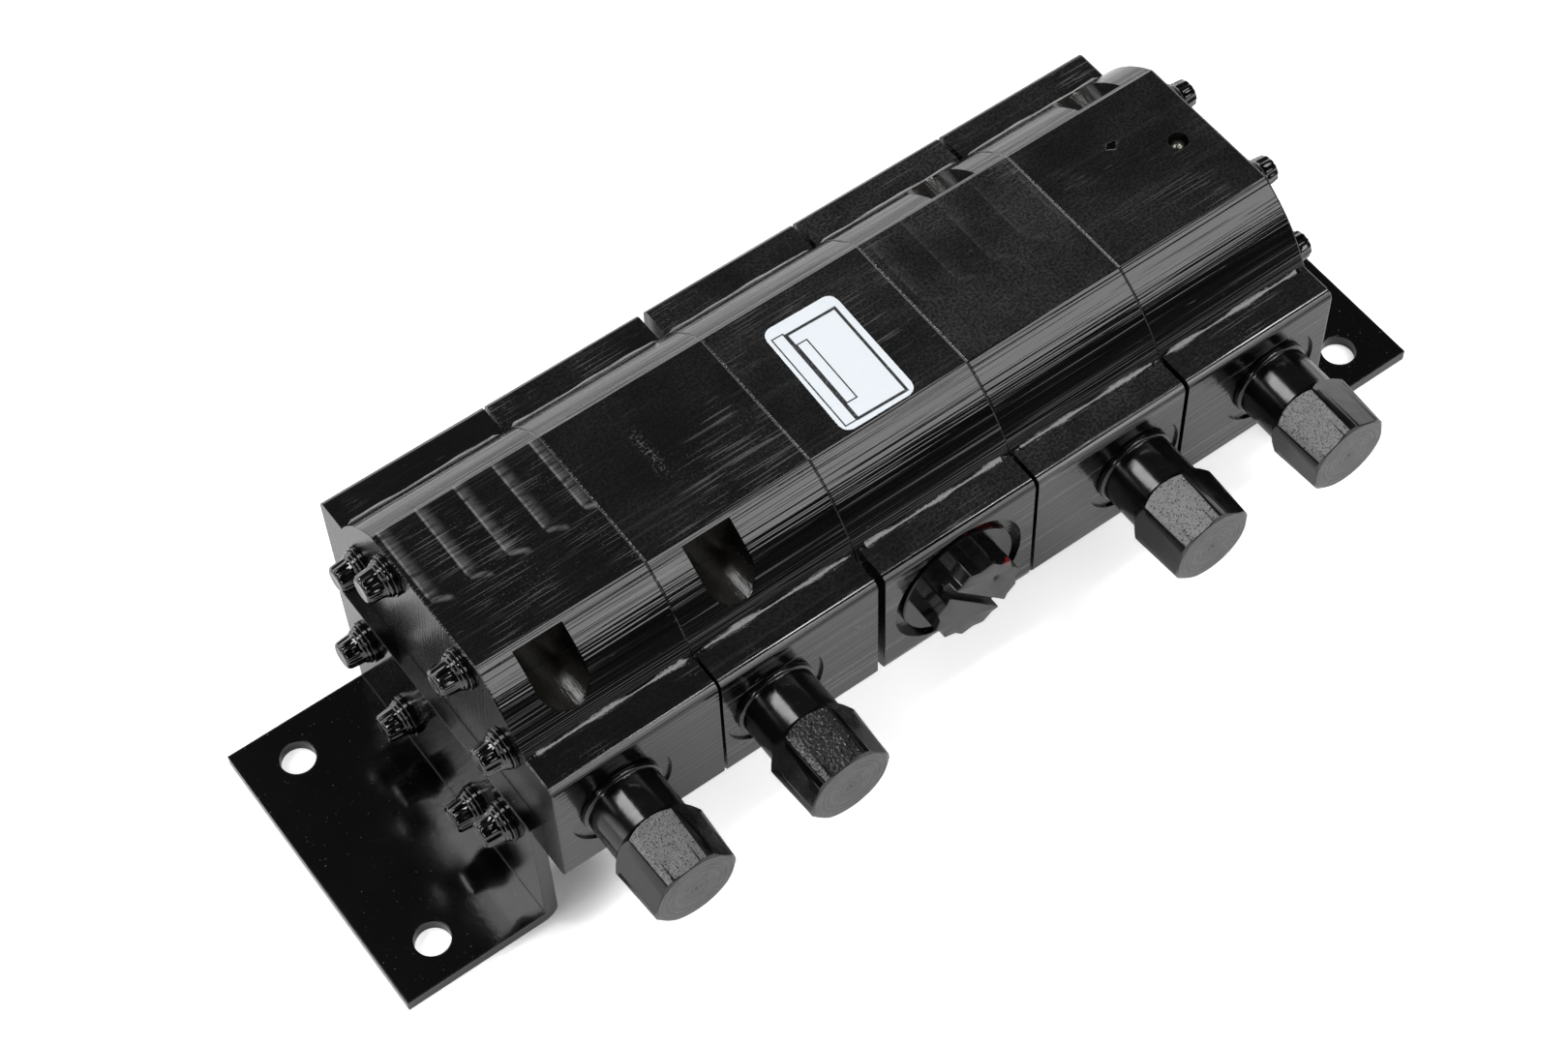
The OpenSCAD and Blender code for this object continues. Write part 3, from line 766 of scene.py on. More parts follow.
@dataclass(frozen=True)
class CapPaint:
    """Painted relief cap: pebbly top flat with a painted highlight on its pebbles, smooth barrel, turned
    rings on the end face.
    """

    name: str
    x: float
    turn: float
    # Share of grey on the top flat's pebbles, a painted highlight set per cap.
    painted_highlight: float
    grain: float
    sheen: float
    colour: Colour = (0.0025, 0.0025, 0.0027)
    haze_and_highlight: Colour = (0.17, 0.17, 0.173)
    gloss: float = 0.12
    relief: float = 0.1 * MM
    peel: float = 0.2 * MM

    def material(self) -> Material:
        """Builds the finish about the cap's own axis.

        Returns:
            The material.
        """
        g = ShaderGraph(self.name)
        local = g.place((self.x, 0.0, AXIS_Z))
        x, y, z = g.split(local)
        radius = g.length(x, z)
        nx, ny, nz = g.split(g.facing)
        face = g.ramp(ny, -0.95, -0.85, 1.0, 0.0)
        lean = math.radians(self.turn + 90)
        square = g.plus(g.times(nx, math.cos(lean)), g.times(nz, math.sin(lean)))
        ahead = g.ramp(y, -HEX_Y - 0.5 * MM, -HEX_Y + 0.1 * MM, 1.0, 0.0)
        top = g.times(g.ramp(square, 0.92, 0.98), ahead)
        rings = g.noise(g.times(radius, 1300.0), 1.0, 2.0)
        pebble = g.noise(local, self.grain, 1.5)
        soft = g.noise(local, 260.0, 2.0)
        height = g.plus(g.times(rings, face, 2.0), g.times(pebble, top, 1.9))
        dust = g.ramp(g.noise(local, 1400.0, 2.0), 0.70, 0.80)
        cloudy = g.times(g.ramp(g.noise(local, 200.0), 0.35, 0.7), face)
        turned = g.times(g.ramp(rings, 0.42, 0.58), face)
        # Dust, cloud and turned rings are real; the grey on the top flat's pebbles is a painted highlight.
        share = g.plus(
            g.times(dust, 0.1),
            g.times(top, g.ramp(pebble, 0.32, 0.48), self.painted_highlight),
            g.times(cloudy, 0.05),
            g.times(turned, 0.22),
        )
        rough = g.ramp(soft, 0.3, 0.7, self.gloss, self.gloss + 0.08)
        g.set(
            Base_Color=g.blend(share, self.colour, self.haze_and_highlight),
            Roughness=g.plus(g.times(face, 0.14), rough),
            Specular_IOR_Level=g.ramp(top, 0.0, 1.0, 0.5, self.sheen),
            Normal=g.bump(height, self.relief, 0.9, g.bump(soft, self.peel, 0.25)),
        )
        return g.material


@dataclass(frozen=True)
class PlugPlastic:
    """Moulded red plastic under gloss black overspray."""

    name: str
    plastic: Colour = (0.16, 0.010, 0.012)
    spray: Colour = (0.003, 0.003, 0.0033)
    shadow: float = -41.7 * MM
    chip: tuple[float, float] = (7.8 * MM, 7.4 * MM)
    rim: tuple[float, float] = (13.9 * MM, 14.3 * MM)

    def material(self) -> Material:
        """Builds overspray that thins out at the flange's upper edge and one chipped point.

        Returns:
            The material.
        """
        g = ShaderGraph(self.name)
        local = g.place((0.0, 0.0, AXIS_Z))
        x, y, z = g.split(local)
        ragged = g.noise(local, 420.0, 4.0)
        right = g.times(g.ramp(x, 1.0 * MM, 3.0 * MM), g.ramp(z, 8.0 * MM, 10.0 * MM))
        rim = g.times(g.ramp(g.length(x, z), *self.rim), right)
        off = g.length(g.plus(x, -self.chip[0]), g.plus(z, -self.chip[1]))
        near = g.ramp(y, -49.8 * MM, -49.2 * MM, 1.0, 0.0)
        nick = g.times(g.ramp(off, 0.6 * MM, 1.7 * MM, 1.0, 0.0), near)
        bare = g.math("MAXIMUM", g.times(rim, 0.4), g.times(nick, 0.8))
        hidden = g.ramp(y, self.shadow - 0.3 * MM, self.shadow)
        share = g.math("MAXIMUM", g.times(bare, g.ramp(ragged, 0.40, 0.56)), hidden)
        soft = g.noise(local, 500.0, 2.0)
        g.set(
            Base_Color=g.blend(share, self.spray, self.plastic),
            Roughness=g.ramp(ragged, 0.3, 0.7, 0.13, 0.22),
            Specular_IOR_Level=0.4,
            Normal=g.bump(soft, 0.1 * MM, 0.25),
        )
        return g.material


@dataclass(frozen=True)
class Metal:
    """Machined metal of an inner piece."""

    name: str
    colour: Colour
    stain: Colour
    gloss: float = 0.26
    lay: Place = (400.0, 60.0, 60.0)
    relief: float = 0.01 * MM
    edge: float = 0.3 * MM

    def material(self) -> Material:
        """Builds tool lines and light staining.

        Returns:
            The material.
        """
        g = ShaderGraph(self.name)
        lines = g.noise(g.place(scale=self.lay), 4.0, 4.0)
        stain = g.ramp(g.noise(g.coords, 120.0, 4.0), 0.42, 0.72)
        g.set(
            Base_Color=g.blend(stain, self.colour, self.stain),
            Metallic=1.0,
            Roughness=g.ramp(lines, 0.3, 0.7, self.gloss, self.gloss + 0.14),
            Normal=g.bump(lines, self.relief, 0.6, g.bevel(self.edge)),
        )
        return g.material


@dataclass(frozen=True)
class Rubber:
    """Oiled seal rubber."""

    name: str
    colour: Colour = (0.014, 0.014, 0.014)
    bloom: Colour = (0.045, 0.045, 0.042)
    relief: float = 0.04 * MM

    def material(self) -> Material:
        """Builds fine grain with a faint bloom.

        Returns:
            The material.
        """
        g = ShaderGraph(self.name)
        bloom = g.ramp(g.noise(g.coords, 300.0, 4.0), 0.4, 0.75)
        g.set(
            Base_Color=g.blend(bloom, self.colour, self.bloom),
            Roughness=g.ramp(bloom, 0.0, 1.0, 0.42, 0.6),
            Normal=g.bump(g.noise(g.coords, 2500.0), self.relief, 0.5),
        )
        return g.material


@dataclass(frozen=True)
class LabelPaper:
    """White label stock with plain ruled frames.

    A frame is its centre, its half width and height and its pen, in millimetres.
    """

    name: str
    centre: Place = (-1.0 * MM, -4.1 * MM, 0.0)
    lean: float = 1.6
    paper: Colour = (0.68, 0.72, 0.755)
    ink: Colour = (0.006, 0.006, 0.007)
    relief: float = 0.01 * MM
    frames: tuple[tuple[float, ...], ...] = (
        (1.2, 0.0, 6.3, 13.2, 0.36),
        (-6.9, 0.3, 1.4, 13.6, 0.17),
        (-3.4, 0.6, 1.3, 9.2, 0.17),
    )

    def material(self) -> Material:
        """Builds the paper and three ruled frames.

        Returns:
            The material.
        """
        g = ShaderGraph(self.name)
        x, y, _ = g.split(g.place(self.centre, turn=(0, 0, self.lean)))
        line: Feed = 0.0
        for ruled in self.frames:
            cx, cy, half_x, half_y, pen = (value * MM for value in ruled)
            dx = g.plus(g.math("ABSOLUTE", g.plus(x, -cx)), -half_x)
            dy = g.plus(g.math("ABSOLUTE", g.plus(y, -cy)), -half_y)
            edge = g.math("ABSOLUTE", g.math("MAXIMUM", dx, dy))
            line = g.math("MAXIMUM", line, g.ramp(edge, pen * 0.7, pen * 1.3, 1.0, 0.0))
        fibre = g.noise(g.coords, 1400.0, 4.0)
        shade = g.ramp(fibre, 0.3, 0.75, 0.0, 0.025)
        worn = g.times(line, g.ramp(fibre, 0.25, 0.5, 0.85, 1.0))
        g.set(
            Base_Color=g.blend(g.math("MAXIMUM", worn, shade), self.paper, self.ink),
            Roughness=g.ramp(fibre, 0.3, 0.7, 0.42, 0.55),
            Normal=g.bump(fibre, self.relief, 0.3),
        )
        return g.material


# Sub-assemblies


def paint_node(name: str, material: Material) -> None:
    """Gives a CAD node its finish.

    Args:
        name: The node.
        material: The finish.
    """
    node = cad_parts[name]
    node.data.materials.clear()
    node.data.materials.append(material)
    LOG.info("%s: finish %s", name, material.name)


def facing_front(shape: np.ndarray, x: float) -> np.ndarray:
    """Lays a turned shape along the front's outward direction.

    Args:
        shape: Array of across, up and along.
        x: Place of its axis along the body.

    Returns:
        The same points as x, y and z.
    """
    return np.stack([x + shape[..., 0], -shape[..., 2], AXIS_Z + shape[..., 1]], axis=-1)


def settle(piece: Piece, material: Material, body: str = "housing") -> None:
    """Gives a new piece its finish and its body.

    Args:
        piece: The new piece.
        material: Its finish.
        body: Body that carries it.
    """
    piece.data.materials.append(material)
    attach(piece, body)


@dataclass
class HousingBlocks:
    """The five blocks cut from one extrusion, and the paint that fills their corners."""

    steps: int = 260
    across: int = 9
    thick: float = 0.9 * MM
    inset: float = 1.2 * MM
    run_out: float = 1.5 * MM
    ragged: float = 0.16
    lift: float = 0.03 * MM

    def finishes(self) -> dict[str, BodyPaint]:
        """One paint per block, so that no two blocks share their streaks.

        Returns:
            The paints by the names of their nodes.
        """
        return {
            "left_end_housing": BodyPaint("paint_block_1", 0, 1.0, -83.5 * MM, rub=(-103.0 * MM, 0.6)),
            "left_inner_housing": BodyPaint(
                "paint_block_2", 1, 2.3, -42.1 * MM, scuff=(-46.1 * MM, -7.0 * MM, 11.0 * MM), film=0.02
            ),
            "centre_inlet_block": BodyPaint("paint_block_3", 2, 3.1, film=0.035),
            "right_inner_housing": BodyPaint(
                "paint_block_4", 3, 4.7, 42.1 * MM, rub=(22.0 * MM, 0.08), film=0.06
            ),
            "right_end_housing": BodyPaint(
                "paint_block_5", 4, 5.9, 83.5 * MM, pit=(82.3 * MM, 7.9 * MM), film=0.035
            ),
        }

    def corner_strip(self, place: float, y_sign: int, z_sign: int, seed: float) -> np.ndarray:
        """Ragged fillet of paint in one re-entrant corner of one block.

        The strip runs from a point a(x) up the round core to a point b(x) out on the boss,
        and between them it is a straight blend pulled towards the corner by the weight 4 t (1 - t).
        a and b are sums of sines along x.

        Args:
            place: Start of the block along X.
            y_sign: Front or back.
            z_sign: Top or bottom corner.
            seed: Phase of the raggedness.

        Returns:
            Array (steps, across, 3).
        """
        x = np.linspace(place + self.inset, place + BLOCK_L - self.inset, self.steps)
        k = x / MM + seed * 17
        wave = np.sin(k * 0.23) + 0.6 * np.sin(k * 0.61 + seed)
        fade = np.clip(np.minimum(x - x[0], x[-1] - x) / self.run_out, 0.15, 1.0)
        a = self.thick * (1.0 + self.ragged * wave) * fade
        b = self.thick * (0.9 + self.ragged * np.roll(wave, 7)) * fade
        foot = math.asin(BOSS_Z / CORE_R)
        up = foot + a / CORE_R
        core = (CORE_R + self.lift) * np.stack([np.cos(up), np.sin(up)], axis=-1)
        corner = np.array([CORE_R * math.cos(foot), BOSS_Z])
        boss = np.stack([corner[0] + b, np.full_like(b, BOSS_Z + self.lift)], axis=-1)
        t = np.linspace(0.0, 1.0, self.across)[None, :, None]
        straight = core[:, None, :] * (1 - t) + boss[:, None, :] * t
        pull = 4 * t * (1 - t) * (0.18 + 0.06 * np.sin(k * 0.37)[:, None, None])
        strip = straight + (corner - straight) * pull
        flat_x = np.broadcast_to(x[:, None], strip.shape[:2])
        return np.stack([flat_x, y_sign * strip[..., 0], AXIS_Z + z_sign * strip[..., 1]], axis=-1)

    def build(self) -> None:
        """Paints the blocks and lays the corner strips."""
        for name, paint in self.finishes().items():
            paint_node(name, paint.material())
        starts = -BODY_L / 2 + BLOCK_L * np.arange(5)
        for label, y_sign in (("front", -1), ("back", 1)):
            strips = [
                self.corner_strip(start, y_sign, z_sign, 1.0 + i + 5 * (z_sign > 0) + 0.3 * y_sign)
                for i, start in enumerate(starts)
                for z_sign in (-1, 1)
            ]
            piece = surface(f"{label}_corner_paint", np.stack(strips), wrap=False, crease=80.0)
            paint = CoatPaint(f"corner_paint_{label}", gloss=0.14, peel=0.3, specks=0.2, shine=0.75)
            settle(piece, paint.material())


@dataclass
class TieBolts:
    """Twelve-point flange screws and their washers at both ends."""

    near: float = 13.9
    far: float = 27.3
    plate: float = 3.2 * MM
    washer_h: float = 1.2
    washer_in: float = 3.42
    washer_out: float = 4.9
    shank_l: float = 96.8
    shank_r: float = 3.17
    tip_r: float = 2.5
    flange_r: float = 4.5
    collar_r: float = 4.1
    head_r: float = 3.2
    top_r: float = 2.98
    screw_edge: float = 0.32 * MM
    washer_edge: float = 0.3 * MM
    slack: float = 0.02
    twist: float = 17.0
    sides: int = 144

    def seats(self, side: Side) -> np.ndarray:
        """Seats of the eight screws of one end.

        Args:
            side: Which end.

        Returns:
            Array (8, 3) of x, y and z.
        """
        pairs = [(self.near, self.far), (self.far, self.near)]
        spots = np.array([(sy * y, sz * z) for sy in (-1, 1) for sz in (-1, 1) for y, z in pairs]) * MM
        out = BODY_L / 2 + np.where(spots[:, 1] < 0, self.plate, 0.0)
        return np.column_stack([side.value * out, spots[:, 0], AXIS_Z + spots[:, 1]])

    def screw(self) -> tuple[np.ndarray, np.ndarray]:
        """Profile of a screw from its tip to its head, along and outward from the seat.

        Returns:
            The rounded profile and the angles.
        """
        w, tip = self.washer_h, -self.shank_l
        rows = [
            (tip, 0.0, 0.0), (tip, self.tip_r, 0.0), (tip + 0.7, self.shank_r, 0.0), (w, self.shank_r, 0.0),
            (w, self.flange_r, 0.0), (w + 0.75, self.flange_r, 0.0), (w + 0.9, self.collar_r + 0.05, 0.0),
            (w + 1.5, self.collar_r, 0.0), (w + 1.65, 3.75, 0.1), (w + 2.3, 3.4, 0.6),
            (w + 3.1, self.head_r, 1.0), (w + 5.3, self.top_r, 1.0), (w + 5.85, 2.55, 0.5),
            (w + 5.75, 1.2, 0.0), (w + 5.7, 0.0, 0.0),
        ]
        return rounded(profile_table(rows), self.screw_edge), full_turn(self.sides)

    def washer(self) -> np.ndarray:
        """Closed profile of a washer.

        Returns:
            The rounded profile.
        """
        middle, low, high = self.washer_h / 2, self.slack, self.washer_h - self.slack
        inner, outer = self.washer_in, self.washer_out
        rows = [
            (middle, inner, 0), (low, inner, 0), (low, outer, 0), (middle, outer, 0),
            (high, outer, 0), (high, inner, 0), (middle, inner, 0),
        ]
        return rounded(profile_table(rows), self.washer_edge)

    def stand(self, shape: np.ndarray, side: Side) -> np.ndarray:
        """Sets one turned shape per screw on its seat.

        Args:
            shape: Array (8, rows, angles, 3) of across, up and along.
            side: Which end.

        Returns:
            Array of the same shape in the row frame.
        """
        seat = self.seats(side)[:, None, None, :]
        return np.stack([
            seat[..., 0] + side.value * shape[..., 2],
            seat[..., 1] + shape[..., 0],
            seat[..., 2] + shape[..., 1],
        ], axis=-1)

    def build(self) -> None:
        """Makes the screws and washers of both ends."""
        profile, angle = self.screw()
        ring = self.washer()
        for side in Side:
            turns = np.radians(np.arange(8) * self.twist + 5 * side.value)
            shapes = [lathe(profile, softened(twelve_points(angle, turn), 2), angle) for turn in turns]
            placed = self.stand(np.stack(shapes), side)
            bolts = surface(f"{side.stem}_screws", placed, wrap=True, crease=60.0)
            paint = CoatPaint(f"screw_paint_{side.stem}", gloss=0.05, peel=0.06, shine=0.8)
            settle(bolts, paint.material())
            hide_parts(f"{side.stem}_tie_bolts")
            rings = np.repeat(lathe(ring, np.ones_like(angle), angle)[None], 8, axis=0)
            placed = self.stand(rings, side)
            washers = surface(f"{side.stem}_screw_washers", placed, wrap=True, crease=60.0)
            paint = CoatPaint(f"washer_paint_{side.stem}", gloss=0.06, peel=0.08, shine=0.7)
            settle(washers, paint.material())
            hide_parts(f"{side.stem}_washers")


@dataclass
class ReliefValves:
    """Hexagon caps on the front bosses, with the springs behind them."""

    flats: float = 19.0
    turns: tuple[float, ...] = (9.0, 9.0, 22.0, 34.0)
    # Share of the painted highlight on each cap's top flat.
    painted_highlights: tuple[float, ...] = (0.6, 0.1, 0.85, 0.8)
    grains: tuple[float, ...] = (2500.0, 1500.0, 2500.0, 2500.0)
    sheens: tuple[float, ...] = (0.5, 0.28, 0.5, 0.5)
    end: float = 70.6
    bore_end: float = 48.0
    bore_r: float = 4.6
    inner: float = 30.6
    thread_r: float = 6.35
    thread_end: float = 41.2
    neck_r: float = 5.9
    seat: float = 43.62
    collar_r: float = 9.8
    barrel_r: float = 9.1
    edge: float = 0.4 * MM
    chamfer: float = 0.18 * MM
    sides: int = 240
    spring_start: float = 24.25 * MM
    spring_end: float = 47.95 * MM
    coil_r: float = 3.6 * MM
    wire_r: float = 0.6 * MM
    coils: float = 8.0
    closed: float = 3.04
    lift: float = 2.5 * MM

    def cap_profile(self) -> np.ndarray:
        """Profile of a cap from the bottom of its bore, over its shank and barrel, to its end face.

        The hexagon's chamfers are the limit half - chamfer + slope * (distance from the nearer end).

        Returns:
            The rounded profile.
        """
        half, end, start = self.flats / 2, self.end, HEX_Y / MM
        rows = [
            (self.bore_end, 0.0, 0), (self.bore_end, self.bore_r, 0), (self.inner, self.bore_r, 0),
            (self.inner, self.thread_r, 0), (self.thread_end, self.thread_r, 0),
            (self.thread_end, self.neck_r, 0), (self.seat, self.neck_r, 0), (self.seat, self.collar_r, 0),
            (44.9, self.collar_r, 0), (45.05, self.barrel_r, 0), (start, self.barrel_r, 0),
            *((start + step, half, 1) for step in (0.0, 0.25, 0.5, 0.8, 1.1, 1.5, 2.0)),
            (end, half, 1), (end, half - 0.45, 0), (end - 0.05, 5.0, 0), (end - 0.1, 0.45, 0),
            (end - 0.22, 0.25, 0), (end - 0.24, 0.0, 0),
        ]
        profile = rounded(profile_table(rows), self.edge, 6)
        inward = np.minimum((end * MM - profile[:, 0]) * 2.2, profile[:, 0] - HEX_Y)
        limit = half * MM - self.chamfer + np.clip(inward, 0, None)
        profile[:, 3] = np.where(profile[:, 2] > 0, limit, OPEN)
        return profile

    def spring(self, x: float) -> np.ndarray:
        """Round wire on a helix with closed ends.

        The coil rises by one wire per turn over the first and last turn, and evenly between them.

        Args:
            x: Place of the valve along the body.

        Returns:
            Array (1, rows, sides, 3).
        """
        t = np.linspace(0.0, self.coils, int(self.coils * 48) + 1)
        length = self.spring_end - self.spring_start
        w = self.wire_r
        knots = np.array([0.0, 1.0, self.coils - 1, self.coils])
        flat = self.closed * w
        rise = np.interp(t, knots, np.array([w, flat, length - flat, length - w]))[:, None]
        b = full_turn(16)[None, :]
        wire = w * np.ones_like(t)[:, None]
        wire[[0, -1]] = 1e-9
        r = self.coil_r + wire * np.cos(b)
        turn = 2 * math.pi * t[:, None]
        along = self.spring_start + rise + wire * np.sin(b)
        return np.stack([x + r * np.cos(turn), -along, AXIS_Z + r * np.sin(turn)], axis=-1)[None]

    def build(self) -> None:
        """Makes the four caps and springs."""
        angle = full_turn(self.sides)
        looks = zip(Section, self.turns, self.painted_highlights, self.grains, self.sheens)
        for section, turn, *look in looks:
            x = section.value
            outline = softened(polygon_outline(angle, 6, math.radians(turn)), 1)
            shape = lathe(self.cap_profile(), outline, angle)
            points = facing_front(shape, x)[None]
            cap = surface(f"{section.stem}_hex_cap", points, wrap=True, crease=50.0)
            settle(cap, CapPaint(f"cap_paint_{section.stem}", x, turn, *look).material())
            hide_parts(f"{section.stem}_relief_cap")
            coil = surface(f"{section.stem}_coil", self.spring(x), wrap=True, crease=80.0)
            steel = Metal(f"coil_steel_{section.stem}", (0.50, 0.50, 0.51), (0.36, 0.34, 0.31))
            settle(coil, steel.material())
            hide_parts(f"{section.stem}_relief_spring")
            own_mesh(coil)


@dataclass
class InletPlug:
    """Plastic shipping plug: threaded shank, flange and slotted twelve-point head."""

    inner: float = 28.2
    thread_end: float = 39.4
    seat: float = 42.2
    boss: float = 44.2
    floor: float = 48.2
    face: float = 50.8
    bore_r: float = 7.3
    neck_r: float = 9.3
    shank_r: float = 10.0
    flange_r: float = 14.7
    head_r: float = 9.79
    slot: float = 2.0
    turn: float = -50.0
    pole: float = 6.3
    edge: float = 0.25
    chamfer: float = 0.3
    sink: float = 0.1
    dimple_r: float = 1.1
    dimple: float = 0.5
    pitch: float = 1.814
    thread: float = 0.55
    thread_rows: int = 72
    sides: int = 720

    def body(self, angle: np.ndarray) -> np.ndarray:
        """Shank, flange and the head up to the floor of its slot.

        The thread's depth is (1 - cos(2 pi (along / pitch) - angle)) / 2, faded at both ends.

        Args:
            angle: The angles.

        Returns:
            Array (rows, angles, 3) of across, up and along.
        """
        bore = [(self.seat, 0, 0), (self.seat, self.bore_r, 0), (self.inner, self.bore_r, 0)]
        along = np.linspace(self.inner, self.thread_end, self.thread_rows)
        rows = [
            *bore, *((a, self.shank_r, 0) for a in along),
            (self.thread_end, self.neck_r, 0), (self.seat, self.neck_r, 0), (self.seat, self.flange_r, 0),
            (self.boss - self.chamfer, self.flange_r, 0), (self.boss, self.flange_r - self.chamfer, 0),
            (self.boss, self.head_r, 1), (self.floor, self.head_r, 1), (self.floor, 0, 0),
        ]
        star = twelve_points(angle, math.radians(self.turn))
        shape = lathe(profile_table(rows), softened(star, 1), angle)
        ends = np.minimum(along - self.inner, self.thread_end - along) / self.pitch
        wave = 0.5 - 0.5 * np.cos(2 * math.pi * along[:, None] / self.pitch - angle)
        depth = self.thread * np.clip(ends, 0.0, 1.0)[:, None] * wave / self.shank_r
        shape[len(bore) : len(bore) + self.thread_rows, :, :2] *= 1 - depth[..., None]
        return shape

    def half(self, angle: np.ndarray, side: int, dimple: float) -> np.ndarray:
        """One half of the slotted head, in rings about a pole in its middle.

        A ray from the pole ends at the nearest of the slot's wall and the further of the two
        hexagons. A hexagon's end is the least of (inradius - pole . n) / (ray . n) over its sides.

        Args:
            angle: The angles about the pole.
            side: Which side of the slot.
            dimple: Depth of the dimple at the pole.

        Returns:
            Array (rows, angles, 3) of across, up and along.
        """
        lean = math.radians(self.turn)
        across = np.array([-math.sin(lean), math.cos(lean)]) * side
        pole = self.pole * across
        ray = np.stack([np.cos(angle), np.sin(angle)])

        def reach(normal: np.ndarray, away: np.ndarray) -> np.ndarray:
            """Distance along each ray to the nearest of some walls.

            Args:
                normal: One outward normal per wall.
                away: Each wall's distance from the axis.

            Returns:
                One distance per ray.
            """
            slope = normal @ ray
            gap = (away - normal @ pole)[:, None]
            return np.min(np.where(slope > 1e-6, gap / np.maximum(slope, 1e-6), np.inf), axis=0)

        sides = lean + math.pi / 6 + np.arange(6) * math.pi / 3
        hexagons = [
            reach(np.column_stack([np.cos(a), np.sin(a)]), np.full(6, self.head_r))
            for a in (sides, sides + math.pi / 6)
        ]
        wall = reach(-across[None, :], np.array([-self.slot / 2]))
        end = softened(np.minimum(np.maximum(*hexagons), wall), 1)
        q = np.linspace(0.0, math.pi / 2, 6)
        rim = [(1, -self.edge * (1 - math.cos(a)), self.face - self.edge * (1 - math.sin(a))) for a in q]
        sunk = self.floor - self.sink
        rows = np.array([
            (0, 0, sunk), (0.97, 0, sunk), (1, 0, self.floor), *rim, (0, self.dimple_r, self.face),
            (0, 0.9, self.face - 0.1 * dimple), (0, 0.35, self.face - 0.9 * dimple),
            (0, 0, self.face - dimple),
        ])
        out = rows[:, :1] * end + rows[:, 1:2]
        flat = np.broadcast_to(rows[:, 2:], out.shape)
        return np.stack([pole[0] + out * ray[0], pole[1] + out * ray[1], flat], axis=-1) * MM

    def build(self) -> None:
        """Makes the plug's body and the two halves of its head."""
        angle = full_turn(self.sides)
        paint = PlugPlastic("plug_plastic").material()
        halves = np.stack([self.half(angle, 1, self.dimple), self.half(angle, -1, 0.0)])
        for name, shape in (("plug_shank", self.body(angle)[None]), ("plug_head", halves)):
            piece = surface(name, facing_front(shape, 0.0), wrap=True, crease=25.0)
            settle(piece, paint, "inlet_plug")
            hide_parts("inlet_plug")


@dataclass
class Label:
    """Blank label stuck on the centre block's top flat."""

    top: float = 80.0 * MM
    thick: float = 0.12 * MM
    gap: float = 0.01 * MM
    curl: float = 0.10 * MM
    corner: float = 2.6 * MM
    size: tuple[float, float] = (18.9 * MM, 31.6 * MM)
    corners: tuple[tuple[float, float], ...] = ((-10.9, -18.7), (8.1, -18.9), (8.8, 12.6), (-9.8, 13.0))

    def build(self) -> None:
        """Lays a thin sheet over the four measured corners, with rounded corners and a lifted edge.

        The sheet is a blend of its corners in two parameters; a corner's parameters are drawn in
        along a quarter circle, and the height rises a little towards one corner.
        """
        quad = np.array(self.corners) * MM
        width, height = self.size
        u = np.linspace(0.0, 1.0, 61)[:, None, None]
        v = np.linspace(0.0, 1.0, 41)[None, :, None]
        rim = np.clip(self.corner - width * np.minimum(u, 1 - u), 0, self.corner)
        inset = (self.corner - np.sqrt(self.corner**2 - rim**2)) / height
        vv = inset + v * (1 - 2 * inset)
        front = quad[0] * (1 - u) * (1 - vv) + quad[1] * u * (1 - vv)
        flat = front + quad[2] * u * vv + quad[3] * (1 - u) * vv
        rise = self.curl * np.clip((u + vv - 1.55) / 0.45, 0, 1) ** 2
        low = np.full_like(rise, self.top + self.gap)
        sheet = np.concatenate([flat, low + self.thick + rise], axis=-1)
        under = np.concatenate([flat, low + rise], axis=-1)
        piece = surface("blank_label", sheet[None], wrap=False)
        settle(piece, LabelPaper("label_paper").material())
        rims = np.stack([np.stack([under[:, end], sheet[:, end]]) for end in (0, -1)])
        sides = surface("label_edge", rims, wrap=False)
        settle(sides, LabelPaper("label_edge_paper").material())


@dataclass
class Inside:
    """Pieces that keep their CAD shape: feet, ball, gears, bearings, valves and seals."""

    def build(self) -> None:
        """Gives every remaining node its finish."""
        coat = CoatPaint("foot_paint", gloss=0.09, peel=0.04, specks=0.7, edge=0.5 * MM, shine=0.45)
        foot = coat.material()
        steel = Metal("gear_steel", (0.55, 0.55, 0.56), (0.38, 0.37, 0.35)).material()
        shaft = Metal("shaft_steel", (0.62, 0.62, 0.63), (0.46, 0.45, 0.44), 0.18, (700, 40, 40)).material()
        valve = Metal("valve_steel", (0.45, 0.45, 0.46), (0.33, 0.32, 0.30), 0.2).material()
        bronze = Metal("bearing_bronze", (0.58, 0.40, 0.19), (0.42, 0.27, 0.12), 0.28).material()
        ball = Metal("ball_steel", (0.16, 0.17, 0.14), (0.05, 0.05, 0.045), 0.24).material()
        rubber = Rubber("seal_rubber").material()
        stems = [s.stem for s in Section]
        groups: list[tuple[Material, list[str]]] = [
            (foot, [f"{s.stem}_foot_bracket" for s in Side]),
            (steel, [f"{s}_{g}_gear" for s in stems for g in ("drive", "idler")]),
            (shaft, ["common_drive_shaft", "gear_keys", "dowel_pins"]),
            (valve, [f"{s}_relief_{p}" for s in stems for p in ("poppet", "seat")]),
            (bronze, [f"{s}_{p}_bearing" for s in stems for p in ("outer", "inner")]),
            (ball, ["ball_plug"]),
            (rubber, ["section_seals", "gallery_o_rings", "cap_o_rings", "inlet_plug_o_ring"]),
        ]
        for material, names in groups:
            for name in names:
                paint_node(name, material)


# Studio


def placed_axes(x: np.ndarray, y: np.ndarray, z: np.ndarray, at: Place) -> Matrix:
    """Matrix of an object from its three axes and its place.

    Args:
        x: First axis.
        y: Second axis.
        z: Third axis.
        at: The place.

    Returns:
        The matrix.
    """
    axes = np.eye(4)
    axes[:3, :3] = np.column_stack([x, y, z])
    axes[:3, 3] = at
    return Matrix(axes.tolist())


